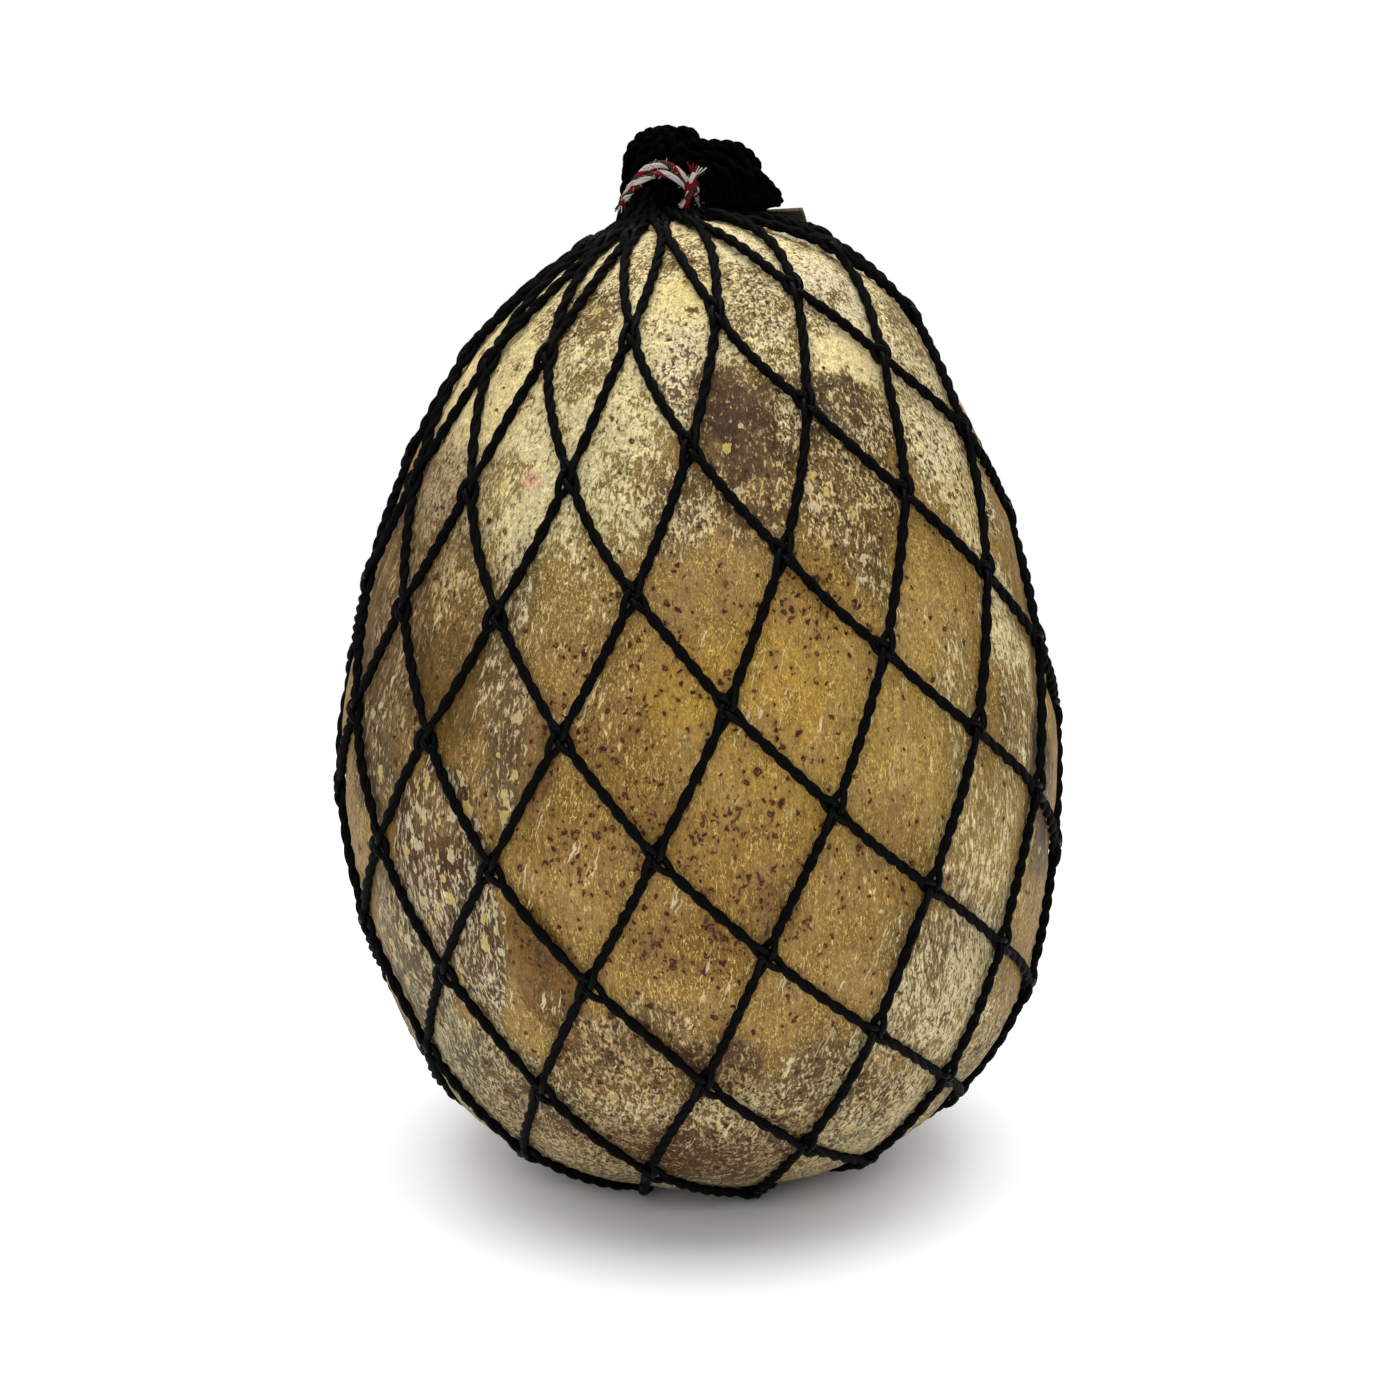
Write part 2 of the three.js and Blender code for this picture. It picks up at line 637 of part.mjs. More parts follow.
const caciocavallo = new THREE.Group();
caciocavallo.add(
  piece("cheese", cheeseSolid(), 0xb98f45, 0.55),
  piece("net", netSolid(), 0x0c0b0c, 0.8),
  piece("net_tuft", tuftSolid(), 0x0b0a0b, 0.85),
  piece("tie_twine", twineSolid(), 0xc9b7b0, 0.8),
  piece("tag", tagSolid(), 0x2f261c, 0.75),
);

export default caciocavallo;
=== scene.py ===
"""Aged egg-shaped caciocavallo in its black cord net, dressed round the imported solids.

The classes hold their sizes in millimetres, and a mesh is scaled to metres when it is made.
Azimuths are degrees round the cheese: 0 is the front that the photograph shows, and positive
is towards the right.
"""

import logging
import math
from dataclasses import dataclass
from enum import Enum
from typing import Optional, Sequence, Union

import bpy
import numpy as np
from mathutils import Euler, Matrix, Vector, noise
from mathutils.kdtree import KDTree


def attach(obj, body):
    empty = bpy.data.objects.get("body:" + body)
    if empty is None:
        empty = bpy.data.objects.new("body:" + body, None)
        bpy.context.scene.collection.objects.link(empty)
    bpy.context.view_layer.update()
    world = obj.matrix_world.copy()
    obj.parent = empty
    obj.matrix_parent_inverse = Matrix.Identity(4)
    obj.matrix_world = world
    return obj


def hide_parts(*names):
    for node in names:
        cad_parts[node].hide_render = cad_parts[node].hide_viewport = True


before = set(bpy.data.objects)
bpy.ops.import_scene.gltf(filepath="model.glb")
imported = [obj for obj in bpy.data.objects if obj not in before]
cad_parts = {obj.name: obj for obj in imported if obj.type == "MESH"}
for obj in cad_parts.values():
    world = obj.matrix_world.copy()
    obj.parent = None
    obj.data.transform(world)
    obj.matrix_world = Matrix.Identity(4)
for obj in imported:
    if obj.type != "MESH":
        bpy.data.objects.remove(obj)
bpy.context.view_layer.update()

LOG = logging.getLogger("caciocavallo")
MM = 0.001
TURN = 2 * math.pi
CURVE_STEPS = 24
RIGHTWARDS = np.array([1.0, 0.0, 0.0])
LEVEL = np.array([1.0, 1.0, 0.0])
WHITE = (1.0, 1.0, 1.0, 1.0)

Array = np.ndarray
Piece = bpy.types.Object
Material = bpy.types.Material
Rgb = tuple[int, int, int]
Pair = tuple[float, float]
Triple = tuple[float, float, float]
Four = tuple[float, float, float, float]
Pairs = tuple[Pair, ...]
Triples = tuple[Triple, ...]
NoiseLayers = Triples


class Hand(Enum):
    """The way that a net cord winds round the cheese on its way down."""

    RIGHT = 1
    LEFT = -1


class Slot(Enum):
    """The record's material slots."""

    RIND = "rind"
    NET_CORD = "net_cord"
    TWINE = "twine"
    TAG_CARD = "tag_card"


def linear(colour: Rgb) -> Four:
    """Turns a screen colour of 0 to 255 into the linear colour that shaders read, with alpha 1."""
    parts = [part / 255 for part in colour]
    return (*[part / 12.92 if part <= 0.04045 else ((part + 0.055) / 1.055) ** 2.4 for part in parts], 1.0)


def smoothstep(low: float, high: float, value: Array) -> Array:
    """Rises smoothly from 0 at low to 1 at high."""
    part = np.clip((value - low) / (high - low), 0.0, 1.0)
    return part * part * (3 - 2 * part)


def hump(ends: Four, value: Array) -> Array:
    """Rises smoothly between the first two ends and falls between the last two."""
    return smoothstep(*ends[:2], value) * (1 - smoothstep(*ends[2:], value))


def unit(vectors: Array) -> Array:
    """Gives vectors the length 1."""
    return vectors / np.maximum(np.linalg.norm(vectors, axis=-1, keepdims=True), 1e-9)


def noise_field(points: Array, size: float, shift: float) -> Array:
    """Smooth noise from about -1 to 1 at points, with blots of a size, moved by a shift."""
    return np.array([noise.noise(Vector(place)) for place in (points / size + shift).tolist()])


def layered_noise(points: Array, layers: NoiseLayers) -> Array:
    """Adds up noises, each given by its weight, its size and its shift."""
    return sum(weight * noise_field(points, size, shift) for weight, size, shift in layers)


def path_length(path: Array) -> Array:
    """Length along a path at each of its points."""
    return np.concatenate([[0], np.cumsum(np.linalg.norm(np.diff(path, axis=0), axis=1))])


def smooth_path(knots: Array, step: float) -> Array:
    """Runs a smooth curve through knots and spaces its points evenly.

    Args:
        knots: the points that the curve passes through.
        step: the distance between two points of the result.

    Returns:
        The points of the curve, with both ends among them.
    """
    padded = np.vstack([2 * knots[0] - knots[1], knots, 2 * knots[-1] - knots[-2]])
    part = np.linspace(0, 1, CURVE_STEPS, endpoint=False)[:, None]
    runs = []
    for before, start, end, after in zip(padded, padded[1:], padded[2:], padded[3:]):
        bend = (2 * before - 5 * start + 4 * end - after) * part**2
        twist = (3 * start - before - 3 * end + after) * part**3
        runs.append(0.5 * (2 * start + (end - before) * part + bend + twist))
    dense = np.vstack(runs + [knots[-1:]])
    length = path_length(dense)
    count = max(int(round(length[-1] / step)), 2)
    even = np.linspace(0, length[-1], count + 1)
    return np.stack([np.interp(even, length, axis) for axis in dense.T], axis=1)


def carried_normals(path: Array, start: Sequence[float]) -> Array:
    """Carries a normal along a path without turning it about the path.

    Args:
        path: the points of the path.
        start: a direction that is roughly across the path at its start.

    Returns:
        A unit normal for each point.
    """
    normals = np.zeros_like(path)
    current = np.array(start, dtype=float)
    for index, direction in enumerate(unit(np.gradient(path, axis=0))):
        current = unit(current - direction * current.dot(direction))
        normals[index] = current
    return normals


def across_path(path: Array, out: Array) -> tuple[Array, Array]:
    """Two directions across a path at each of its points.

    Args:
        path: the points of the path.
        out: the way that the first direction keeps as near to as it can.

    Returns:
        The first direction and the one square to it.
    """
    along = unit(np.gradient(path, axis=0))
    up = unit(out - along * np.sum(out * along, axis=1, keepdims=True))
    return up, np.cross(up, along)


def turning(first: Array, last: Array, count: int) -> Array:
    """Unit directions that turn from the first to the last in a count of steps."""
    part = np.linspace(0, 1, count)[:, None]
    return unit(first * (1 - part) + last * part)


def nearest(points: Array, places: Array) -> tuple[Array, Array]:
    """Finds the nearest of some points to each place.

    Args:
        points: the points that are searched.
        places: where they are searched from.

    Returns:
        The index of each place's nearest point, and how far away that is.
    """
    tree = KDTree(len(points))
    for index, point in enumerate(points.tolist()):
        tree.insert(point, index)
    tree.balance()
    found = [tree.find(place) for place in places.tolist()]
    return np.array([hit[1] for hit in found]), np.array([hit[2] for hit in found])


def deselect() -> None:
    """Deselects everything, as the loaded solids come in selected."""
    bpy.ops.object.select_all(action="DESELECT")


def take_primitive(name: str) -> Piece:
    """Names the primitive that was just added, and its mesh."""
    bpy.context.object.name = bpy.context.object.data.name = name
    return bpy.context.object


def vertex_places(piece: Piece) -> Array:
    """Reads a mesh's vertices as an array of rows."""
    return np.array([vertex.co[:] for vertex in piece.data.vertices])


def set_vertex_places(piece: Piece, places: Array) -> None:
    """Moves a mesh's vertices to an array of rows."""
    piece.data.vertices.foreach_set("co", places.ravel())
    piece.data.update()


def set_attribute(piece: Piece, name: str, values: Array) -> None:
    """Stores a number, a vector or a colour on each vertex.

    Args:
        piece: the mesh object.
        name: the attribute's name, which a material reads.
        values: one row for each vertex.
    """
    kinds = {1: ("FLOAT", "value"), 3: ("FLOAT_VECTOR", "vector"), 4: ("FLOAT_COLOR", "color")}
    kind, word = kinds[values.size // len(values)]
    attribute = piece.data.attributes.new(name, kind, "POINT")
    attribute.data.foreach_set(word, np.ascontiguousarray(values, dtype=np.float32).ravel())


def aimed(place: Triple, aim: Triple) -> Euler:
    """The turn that points a lamp or a camera from its place to its aim."""
    return (Vector(aim) - Vector(place)).to_track_quat("-Z", "Y").to_euler()


def hand_over(piece: Piece, node: str, slot: Slot, *materials: Material) -> None:
    """Dresses a finished piece, ties it to the frame and reports it.

    Args:
        piece: the finished piece.
        node: the solid that it stands for.
        slot: the record's material slot for the piece; not used.
        materials: its materials, in the order of their indexes.
    """
    for material in materials:
        piece.data.materials.append(material)
    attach(piece, "root")
    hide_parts(node)
    LOG.info("%s: %d faces, stands for %s", piece.name, len(piece.data.polygons), node)


@dataclass(frozen=True)
class Wire:
    """One output of a material's nodes, on which sums are written as on plain numbers."""

    graph: "Graph"
    socket: bpy.types.NodeSocket

    def __add__(self, other: "Value") -> "Wire":
        """Adds a value."""
        return self.graph.math("ADD", self, other)

    def __sub__(self, other: "Value") -> "Wire":
        """Takes a value away."""
        return self.graph.math("SUBTRACT", self, other)

    def __mul__(self, other: "Value") -> "Wire":
        """Multiplies by a value."""
        return self.graph.math("MULTIPLY", self, other)

    def __truediv__(self, other: "Value") -> "Wire":
        """Divides by a value."""
        return self.graph.math("DIVIDE", self, other)

    def vector(self, kind: str, other: "Value") -> "Wire":
        """Does sums on two vectors."""
        return self.graph.node("VectorMath", 0, {0: self, 1: other}, operation=kind)

    def pushed(self, way: "Wire", amount: float) -> "Wire":
        """Coordinates that wander by an amount, so that shapes lose their regular form."""
        return self.vector("ADD", self.graph.shade(way, amount))

    def step(self, low: float, high: float) -> "Wire":
        """Rises smoothly from 0 at low to 1 at high, or falls where low is above high."""
        ends = {"Value": self, "From Min": low, "From Max": high}
        return self.graph.node("MapRange", 0, ends, interpolation_type="SMOOTHSTEP")

    def spread(self, low: float, high: float) -> "Wire":
        """Spreads a value of 0 to 1 over a range."""
        return self.graph.node("MapRange", 0, {"Value": self, "To Min": low, "To Max": high})

    def split(self) -> list["Wire"]:
        """Splits a colour into red, green and blue."""
        parts = self.graph.node("SeparateColor", 0, {0: self}).socket.node.outputs
        return [Wire(self.graph, part) for part in parts]


Value = Union[float, Sequence[float], Wire]


def weighed(weights: Sequence[float], *values: Wire) -> Wire:
    """Adds up values, each times its weight."""
    parts = [value * weight for value, weight in zip(values, weights)]
    return sum(parts[1:], parts[0])


@dataclass(frozen=True)
class Pattern:
    """A noise or a scatter of cells: a blot's size along each axis, a shift and the finer layers."""

    size: Triple
    shift: float
    detail: float = 1.0

    def inputs(self, place: Wire, ratio: Triple) -> dict[str, Value]:
        """A texture's inputs: coordinates counted in blots, and shifted so that two patterns differ."""
        shift = [self.shift * part for part in ratio]
        return {"Vector": place.vector("DIVIDE", self.size).vector("ADD", shift), "Scale": 1.0}


class Graph:
    """A material's nodes, with a short method for each kind that the finishes use."""

    noise_shift: Triple = (1.0, 0.7, 1.3)
    cell_shift: Triple = (1.0, 1.7, 0.6)
    noise_roughness: float = 0.62

    def __init__(self, name: str) -> None:
        """Starts a material with one shader.

        Args:
            name: the material's name.
        """
        self.material = bpy.data.materials.new(name)
        self.material.use_nodes = True
        self.tree = self.material.node_tree

    def feed(self, socket: bpy.types.NodeSocket, value: Value) -> None:
        """Links an input to a wire or sets its own value.

        Args:
            socket: the input.
            value: the wire or the value.
        """
        if isinstance(value, Wire):
            self.tree.links.new(value.socket, socket)
        else:
            socket.default_value = value

    def node(self, kind: str, output: Union[int, str], inputs: dict, **settings: str) -> Wire:
        """Adds one node.

        Args:
            kind: the node's type, without the word that all types start with.
            output: the name or number of the output that is wanted.
            inputs: what goes into its inputs, by their names or numbers.
            settings: the node's own settings.

        Returns:
            The output.
        """
        node = self.tree.nodes.new("ShaderNode" + kind)
        for name, value in settings.items():
            setattr(node, name, value)
        for name, value in inputs.items():
            self.feed(node.inputs[name], value)
        return Wire(self, node.outputs[output])

    def set(self, **values: Value) -> None:
        """Sets inputs of the shader by name, with underscores for spaces."""
        for name, value in values.items():
            self.feed(self.tree.nodes["Principled BSDF"].inputs[name.replace("_", " ")], value)

    def attribute(self, name: str, output: str = "Fac") -> Wire:
        """Reads an attribute of the piece."""
        return self.node("Attribute", output, {}, attribute_name=name)

    def coordinates(self, output: str) -> Wire:
        """Reads the piece's own UV or Object coordinates."""
        return self.node("TexCoord", output, {})

    def solid(self) -> Wire:
        """Reads Object coordinates in millimetres."""
        return self.coordinates("Object").vector("MULTIPLY", (1 / MM, 1 / MM, 1 / MM))

    def math(self, kind: str, first: Value, second: Value = 0.0) -> Wire:
        """Does sums on two values."""
        return self.node("Math", 0, {0: first, 1: second}, operation=kind)

    def shade(self, colour: Value, factor: Value) -> Wire:
        """Makes a colour lighter or darker, or a vector longer or shorter, by a factor."""
        plain = colour if isinstance(colour, Wire) else colour[:3]
        return self.node("VectorMath", 0, {0: plain, "Scale": factor}, operation="SCALE")

    def mix(self, share: Value, first: Value, second: Value, kind: str = "MIX") -> Wire:
        """Mixes two colours."""
        colours = {0: share, 6: first, 7: second}
        return self.node("Mix", 2, colours, data_type="RGBA", blend_type=kind)

    def noise(self, place: Wire, pattern: Pattern) -> Wire:
        """Noise of a pattern, about 0.5 on average."""
        inputs = {**pattern.inputs(place, self.noise_shift), "Detail": pattern.detail}
        return self.node("TexNoise", "Fac", {**inputs, "Roughness": self.noise_roughness})

    def way(self, place: Wire, pattern: Pattern) -> Wire:
        """A smoothly changing way to wander, of up to about half a unit along each axis."""
        inputs = {**pattern.inputs(place, self.noise_shift), "Detail": pattern.detail}
        return self.node("TexNoise", "Color", inputs).vector("SUBTRACT", (0.5, 0.5, 0.5))

    def cells(self, place: Wire, pattern: Pattern) -> tuple[Wire, list[Wire]]:
        """Scattered cells: how far the nearest middle is, and three random numbers of that cell."""
        far = self.node("TexVoronoi", "Distance", pattern.inputs(place, self.cell_shift))
        return far, Wire(self, far.socket.node.outputs["Color"]).split()

    def bump(self, height: Wire, distance: float, strength: float) -> Wire:
        """Turns a height into a bumpy normal, with the distance in metres."""
        return self.node("Bump", 0, {"Height": height, "Distance": distance, "Strength": strength})


@dataclass(frozen=True)
class EggForm:
    """The cheese's body: two half eggs on one girth, with a slight lean and a flat foot."""

    girth_radius: float = 75.2
    girth_height: float = 92.7
    height: float = 201.3
    foot_cut: float = 1.5
    upper_power: Pair = (1.35, 2.32)
    lower_power: Pair = (2.47, 2.52)
    low_lean: Triple = (1.8, 40.0, 22.0)
    top_lean: Triple = (2.4, 165.0, 200.0)
    normal_step: float = 0.05
    profile_points: int = 900

    def half(self, z: Array) -> list[Array]:
        """The half egg that each height belongs to.

        Args:
            z: the heights.

        Returns:
            The half's rise, its height power and its radius power, at each height.
        """
        upper = (self.height - self.girth_height, *self.upper_power)
        lower = (self.girth_height + self.foot_cut, *self.lower_power)
        return [np.where(z > self.girth_height, *values) for values in zip(upper, lower)]

    def measure(self, radius: Array, z: Array) -> Array:
        """Grows from 0 at the middle to 1 at the rind and on outside it."""
        rise, tall, wide = self.half(z)
        return (np.abs(z - self.girth_height) / rise) ** tall + (radius / self.girth_radius) ** wide

    def radius(self, z: Array) -> Array:
        """Radius of the upright body at a height."""
        left = 1 - np.minimum(self.measure(np.zeros_like(z), z), 1.0)
        return self.girth_radius * left ** (1 / self.half(z)[2])

    def lean(self, z: Array) -> Array:
        """Sideways lean of the middle line at a height."""
        low = self.low_lean[0] * np.exp(-(((z - self.low_lean[1]) / self.low_lean[2]) ** 2))
        return low + self.top_lean[0] * smoothstep(*self.top_lean[1:], z)

    def leaned(self, points: Array) -> Array:
        """Moves points of the upright body to the leaning one."""
        return points + self.lean(points[..., 2])[..., None] * RIGHTWARDS

    def normals(self, points: Array) -> Array:
        """Outward normals of the upright body.

        Args:
            points: places on the upright body.

        Returns:
            A unit normal for each place.
        """
        step = self.normal_step
        radius = np.hypot(points[..., 0], points[..., 1])
        z = points[..., 2]
        by_radius = self.measure(radius + step, z) - self.measure(np.abs(radius - step), z)
        by_height = self.measure(radius, z + step) - self.measure(radius, z - step)
        share = by_radius / np.maximum(radius, step)
        return unit(np.stack([points[..., 0] * share, points[..., 1] * share, by_height], axis=-1))

    def profile(self, count: int) -> tuple[Array, Array, Array]:
        """The side view from the top to the middle of the foot, in even steps.

        Args:
            count: how many steps.

        Returns:
            Radius, height and length along the side view at each step.
        """
        below = self.girth_height + self.foot_cut
        swing = np.linspace(math.pi / 2, -math.asin(self.girth_height / below), self.profile_points)
        rise = np.where(swing > 0, self.height - self.girth_height, below)
        z = np.append(self.girth_height + rise * np.sin(swing), 0.0)
        radius = np.append(self.radius(np.maximum(z[:-1], 0.0)), 0.0)
        radius[0] = 0.0
        length = path_length(np.stack([radius, z], axis=1))
        even = np.linspace(0, length[-1], count + 1)
        return np.interp(even, length, radius), np.interp(even, length, z), even


@dataclass(frozen=True)
class NetPull:
    """A place where the net is pulled out of its even pattern, in rows and columns."""

    row: float
    col: float
    tall: float
    wide: float
    down: float
    aside: float


@dataclass
class NetMap:
    """Where the net's cords lie on the cheese.

    A place is a row, counted down from the first ring of knots, and a column, counted in half
    meshes. Knots are where row and column add up to an even number.
    """

    egg: EggForm
    meshes_round: int = 13
    bar_length: float = 28.5
    shortest_row: float = 0.2
    first_knot_arc: float = 12.1
    last_knot_arc: float = 10.0
    centre_height: float = 58.4
    turn: float = math.radians(-131.9)
    tilt_back: Pair = (math.radians(14.6), math.radians(27.5))
    tilt_right: Pair = (math.radians(-12.6), math.radians(-16.0))
    lowest_cord: float = 1.55
    cord_lift: float = 1.08
    tent_lift: float = 0.9
    tent_arcs: Four = (14.0, 36.0, 78.0, 120.0)
    tent_sides: Pair = (0.3, 0.7)
    row_shift: float = -0.11
    row_shift_rows: Pair = (0.0, 4.0)
    col_shift: float = -0.05
    angle_steps: int = 721
    reach_rounds: int = 45
    pulls: tuple[NetPull, ...] = (
        NetPull(0.8, 6.8, 0.9, 2.2, 0.17, -0.3),
        NetPull(2.0, 8.2, 0.9, 1.2, 0.0, -0.25),
        NetPull(5.4, 8.8, 2.2, 1.8, -0.12, 0.0),
    )

    def __post_init__(self) -> None:
        """Measures the rows: a bar keeps its length, so a row is lower where the body is wider."""
        self.angles = np.linspace(0, math.pi, self.angle_steps)
        side_view = np.stack([np.sin(self.angles), 0 * self.angles, np.cos(self.angles)], axis=1)
        across, _, up = (side_view * self.reach(side_view)[:, None]).T
        steps = np.hypot(np.diff(across), np.diff(up))
        half = math.pi * (across[1:] + across[:-1]) / 2 / self.meshes_round
        least = (self.shortest_row * self.bar_length) ** 2
        tall = np.sqrt(np.maximum(self.bar_length**2 - half**2, least))
        self.arcs = np.concatenate([[0], np.cumsum(steps)])
        self.rows = np.concatenate([[0], np.cumsum(steps / tall)])
        self.first_row = float(np.interp(self.first_knot_arc, self.arcs, self.rows))
        last = np.interp(self.arcs[-1] - self.last_knot_arc, self.arcs, self.rows)
        self.last_row = int(last - self.first_row)

    def reach(self, directions: Array) -> Array:
        """Searches for the rind along directions from the net's middle.

        Args:
            directions: unit directions.

        Returns:
            The distance to the rind along each.
        """
        flat = np.hypot(directions[..., 0], directions[..., 1])
        near = np.zeros_like(flat)
        far = np.full_like(flat, 2 * self.egg.height)
        for _ in range(self.reach_rounds):
            middle = (near + far) / 2
            outside = self.egg.measure(middle * flat, self.centre_height + middle * directions[..., 2]) > 1
            far = np.where(outside, middle, far)
            near = np.where(outside, near, middle)
        return near

    def rind_place(self, angle: Array, turn: Array) -> tuple[Array, Array]:
        """The point of the upright rind under a place of the net.

        Args:
            angle: from the gather, in radians.
            turn: about the net's axis, in radians.

        Returns:
            The points and their outward normals.
        """
        part = angle / math.pi - 0.5
        right = self.tilt_right[0] + self.tilt_right[1] * part
        back = self.tilt_back[0] + self.tilt_back[1] * part
        x = np.sin(angle) * np.cos(turn)
        y = np.sin(angle) * np.sin(turn)
        z = np.cos(angle)
        x, z = x * np.cos(right) + z * np.sin(right), z * np.cos(right) - x * np.sin(right)
        y, z = y * np.cos(back) - z * np.sin(back), y * np.sin(back) + z * np.cos(back)
        direction = np.stack([x, y, z], axis=-1)
        points = direction * self.reach(direction)[..., None]
        points[..., 2] += self.centre_height
        return points, self.egg.normals(points)

    def rind_spot(self, angle: float, turn: float, lift: float = 0.0) -> tuple[Array, Array]:
        """One point of the leaning rind, or lifted off it, and the way out there."""
        point, out = self.rind_place(np.array(angle), np.array(turn))
        return self.egg.leaned(point + out * lift), out

    def place(self, row: Array, col: Array) -> tuple[Array, Array]:
        """Places on the cords' middle lines.

        Args:
            row: rows down from the first ring of knots.
            col: half meshes round.

        Returns:
            The points, and the way out from the rind at each.
        """
        row, col = np.broadcast_arrays(row, col)
        down = row + self.first_row + self.row_shift * smoothstep(*self.row_shift_rows, row)
        round_by = col + self.col_shift
        for pull in self.pulls:
            aside = (col - pull.col + self.meshes_round) % (2 * self.meshes_round) - self.meshes_round
            near = np.exp(-(((row - pull.row) / pull.tall) ** 2) - (aside / pull.wide) ** 2)
            down = down + pull.down * near
            round_by = round_by + pull.aside * near
        turn = self.turn + math.pi * round_by / self.meshes_round
        points, normals = self.rind_place(np.interp(down, self.rows, self.angles), turn)
        tent = hump(self.tent_arcs, np.interp(down, self.rows, self.arcs))
        sides = self.tent_sides[0] + self.tent_sides[1] * np.cos(turn) ** 2
        lift = self.cord_lift + self.tent_lift * tent * sides
        points = self.egg.leaned(points + normals * lift[..., None])
        low = points[..., 2] < self.lowest_cord
        points[..., 2] = np.maximum(points[..., 2], self.lowest_cord)
        return points, np.where(low[..., None], np.array([0.0, 0.0, -1.0]), normals)

    def strands(self, hand: Hand, bar_steps: int) -> tuple[Array, Array, Array]:
        """All cords of one hand between the first and the last ring of knots.

        Args:
            hand: the way the cords wind.
            bar_steps: steps in a bar.

        Returns:
            Points and normals of each cord, and the rows that they are at.
        """
        rows = np.linspace(0, self.last_row, self.last_row * bar_steps + 1)
        starts = 2 * np.arange(self.meshes_round)
        points, normals = self.place(rows[None, :], starts[:, None] + hand.value * rows[None, :])
        return points, normals, rows


@dataclass(frozen=True)
class Lay:
    """How a cord is laid: its plies' radius, their offset, the length of a turn and their tints."""

    ply_radius: float
    ply_offset: float
    turn_length: float
    tints: tuple[int, ...] = (0, 0)

    def angle(self, length: Array) -> Array:
        """How far the plies have turned after a length."""
        return length * TURN / self.turn_length


class Tubes:
    """Round tubes that are collected as arrays and joined into one mesh.

    Each tube has its own strip of UV: millimetres along it and once round it.
    """

    floor: float = 0.05

    def __init__(self, sides: int) -> None:
        """Starts an empty batch.

        Args:
            sides: how many sides each tube has.
        """
        self.sides = sides
        self.count = 0
        self.points: list[Array] = []
        self.faces: list[list[int]] = []
        self.uvs: list[Array] = []
        self.tints: list[int] = []

    def add(self, path: Array, out: Array, radius: float, tint: int) -> None:
        """Adds a tube with closed ends.

        Args:
            path: the points of its middle line.
            out: a direction across it at each point.
            radius: its radius.
            tint: the index of its material.
        """
        up, side = across_path(path, out)
        angles = (TURN * np.arange(self.sides) / self.sides)[None, :, None]
        ring = np.cos(angles) * side[:, None] + np.sin(angles) * up[:, None]
        self.points.append((path[:, None] + radius * ring).reshape(-1, 3))
        index = self.count + np.arange(len(path) * self.sides).reshape(len(path), self.sides)
        self.count += index.size
        following = np.roll(index, -1, axis=1)
        quads = np.stack([index[:-1], following[:-1], following[1:], index[1:]], axis=-1).reshape(-1, 4)
        self.faces += quads.tolist() + [index[0][::-1].tolist(), index[-1].tolist()]
        self.tints += [tint] * (len(quads) + 2)
        around = np.arange(self.sides + 1) / self.sides
        strip = np.stack(np.meshgrid(path_length(path), around, indexing="ij"), axis=-1)
        corners = [strip[:-1, :-1], strip[:-1, 1:], strip[1:, 1:], strip[1:, :-1]]
        self.uvs += [np.stack(corners, axis=2).reshape(-1, 2), strip[0, :-1], strip[-1, :-1]]

    def twist(
        self,
        path: Array,
        out: Array,
        angle: Array,
        lay: Lay,
        across: Optional[Array] = None,
        weave: Optional[Array] = None,
    ) -> None:
        """Adds a cord of plies that wind round its middle line.

        Args:
            path: the middle line.
            out: the way out from what the cord lies on.
            angle: how far the plies have turned at each point.
            lay: how the cord is laid.
            across: how far a ply stands off sideways at each point, where that isn't its offset.
            weave: an extra way out for each ply and point.
        """
        up, side = across_path(path, out)
        sideways = lay.ply_offset if across is None else across
        for ply, tint in enumerate(lay.tints):
            turn = angle + TURN * ply / len(lay.tints)
            rise = lay.ply_offset * np.sin(turn)
            if weave is not None:
                rise = rise + weave[ply]
            line = path + side * (sideways * np.cos(turn))[:, None] + up * rise[:, None]
            self.add(line, up, lay.ply_radius, tint)

    def build(self, name: str) -> Piece:
        """Joins the tubes into one smooth mesh object.

        Args:
            name: the piece's name.

        Returns:
            The new object.
        """
        mesh = bpy.data.meshes.new(name)
        places = np.vstack(self.points)
        places[:, 2] = np.maximum(places[:, 2], self.floor)
        mesh.from_pydata((places * MM).tolist(), [], self.faces)
        layer = mesh.uv_layers.new(name="strip")
        layer.data.foreach_set("uv", np.vstack(self.uvs).astype(np.float32).ravel())
        mesh.polygons.foreach_set("material_index", np.array(self.tints, dtype=np.int32))
        mesh.polygons.foreach_set("use_smooth", np.ones(len(mesh.polygons), dtype=bool))
        mesh.update()
        piece = bpy.data.objects.new(name, mesh)
        bpy.context.scene.collection.objects.link(piece)
        return piece


@dataclass(frozen=True)
class Patch:
    """One patch of the rind, by its place on the cheese and what it looks like.

    A value that isn't given is left as it was under the patch.
    """

    azimuth: float
    height: float
    half_width: float
    half_height: float
    ground: Optional[Rgb] = None
    bloom: Optional[Rgb] = None
    cover: Optional[float] = None
    flecks: Optional[float] = None
    pits: Optional[float] = None
    flakes: Optional[float] = None
    wax: Optional[float] = None
    turn: float = 0.0
    edge: float = 0.7
    ragged: float = 0.45


# A half width that takes a patch all the way round.
ALL_ROUND = 900.0

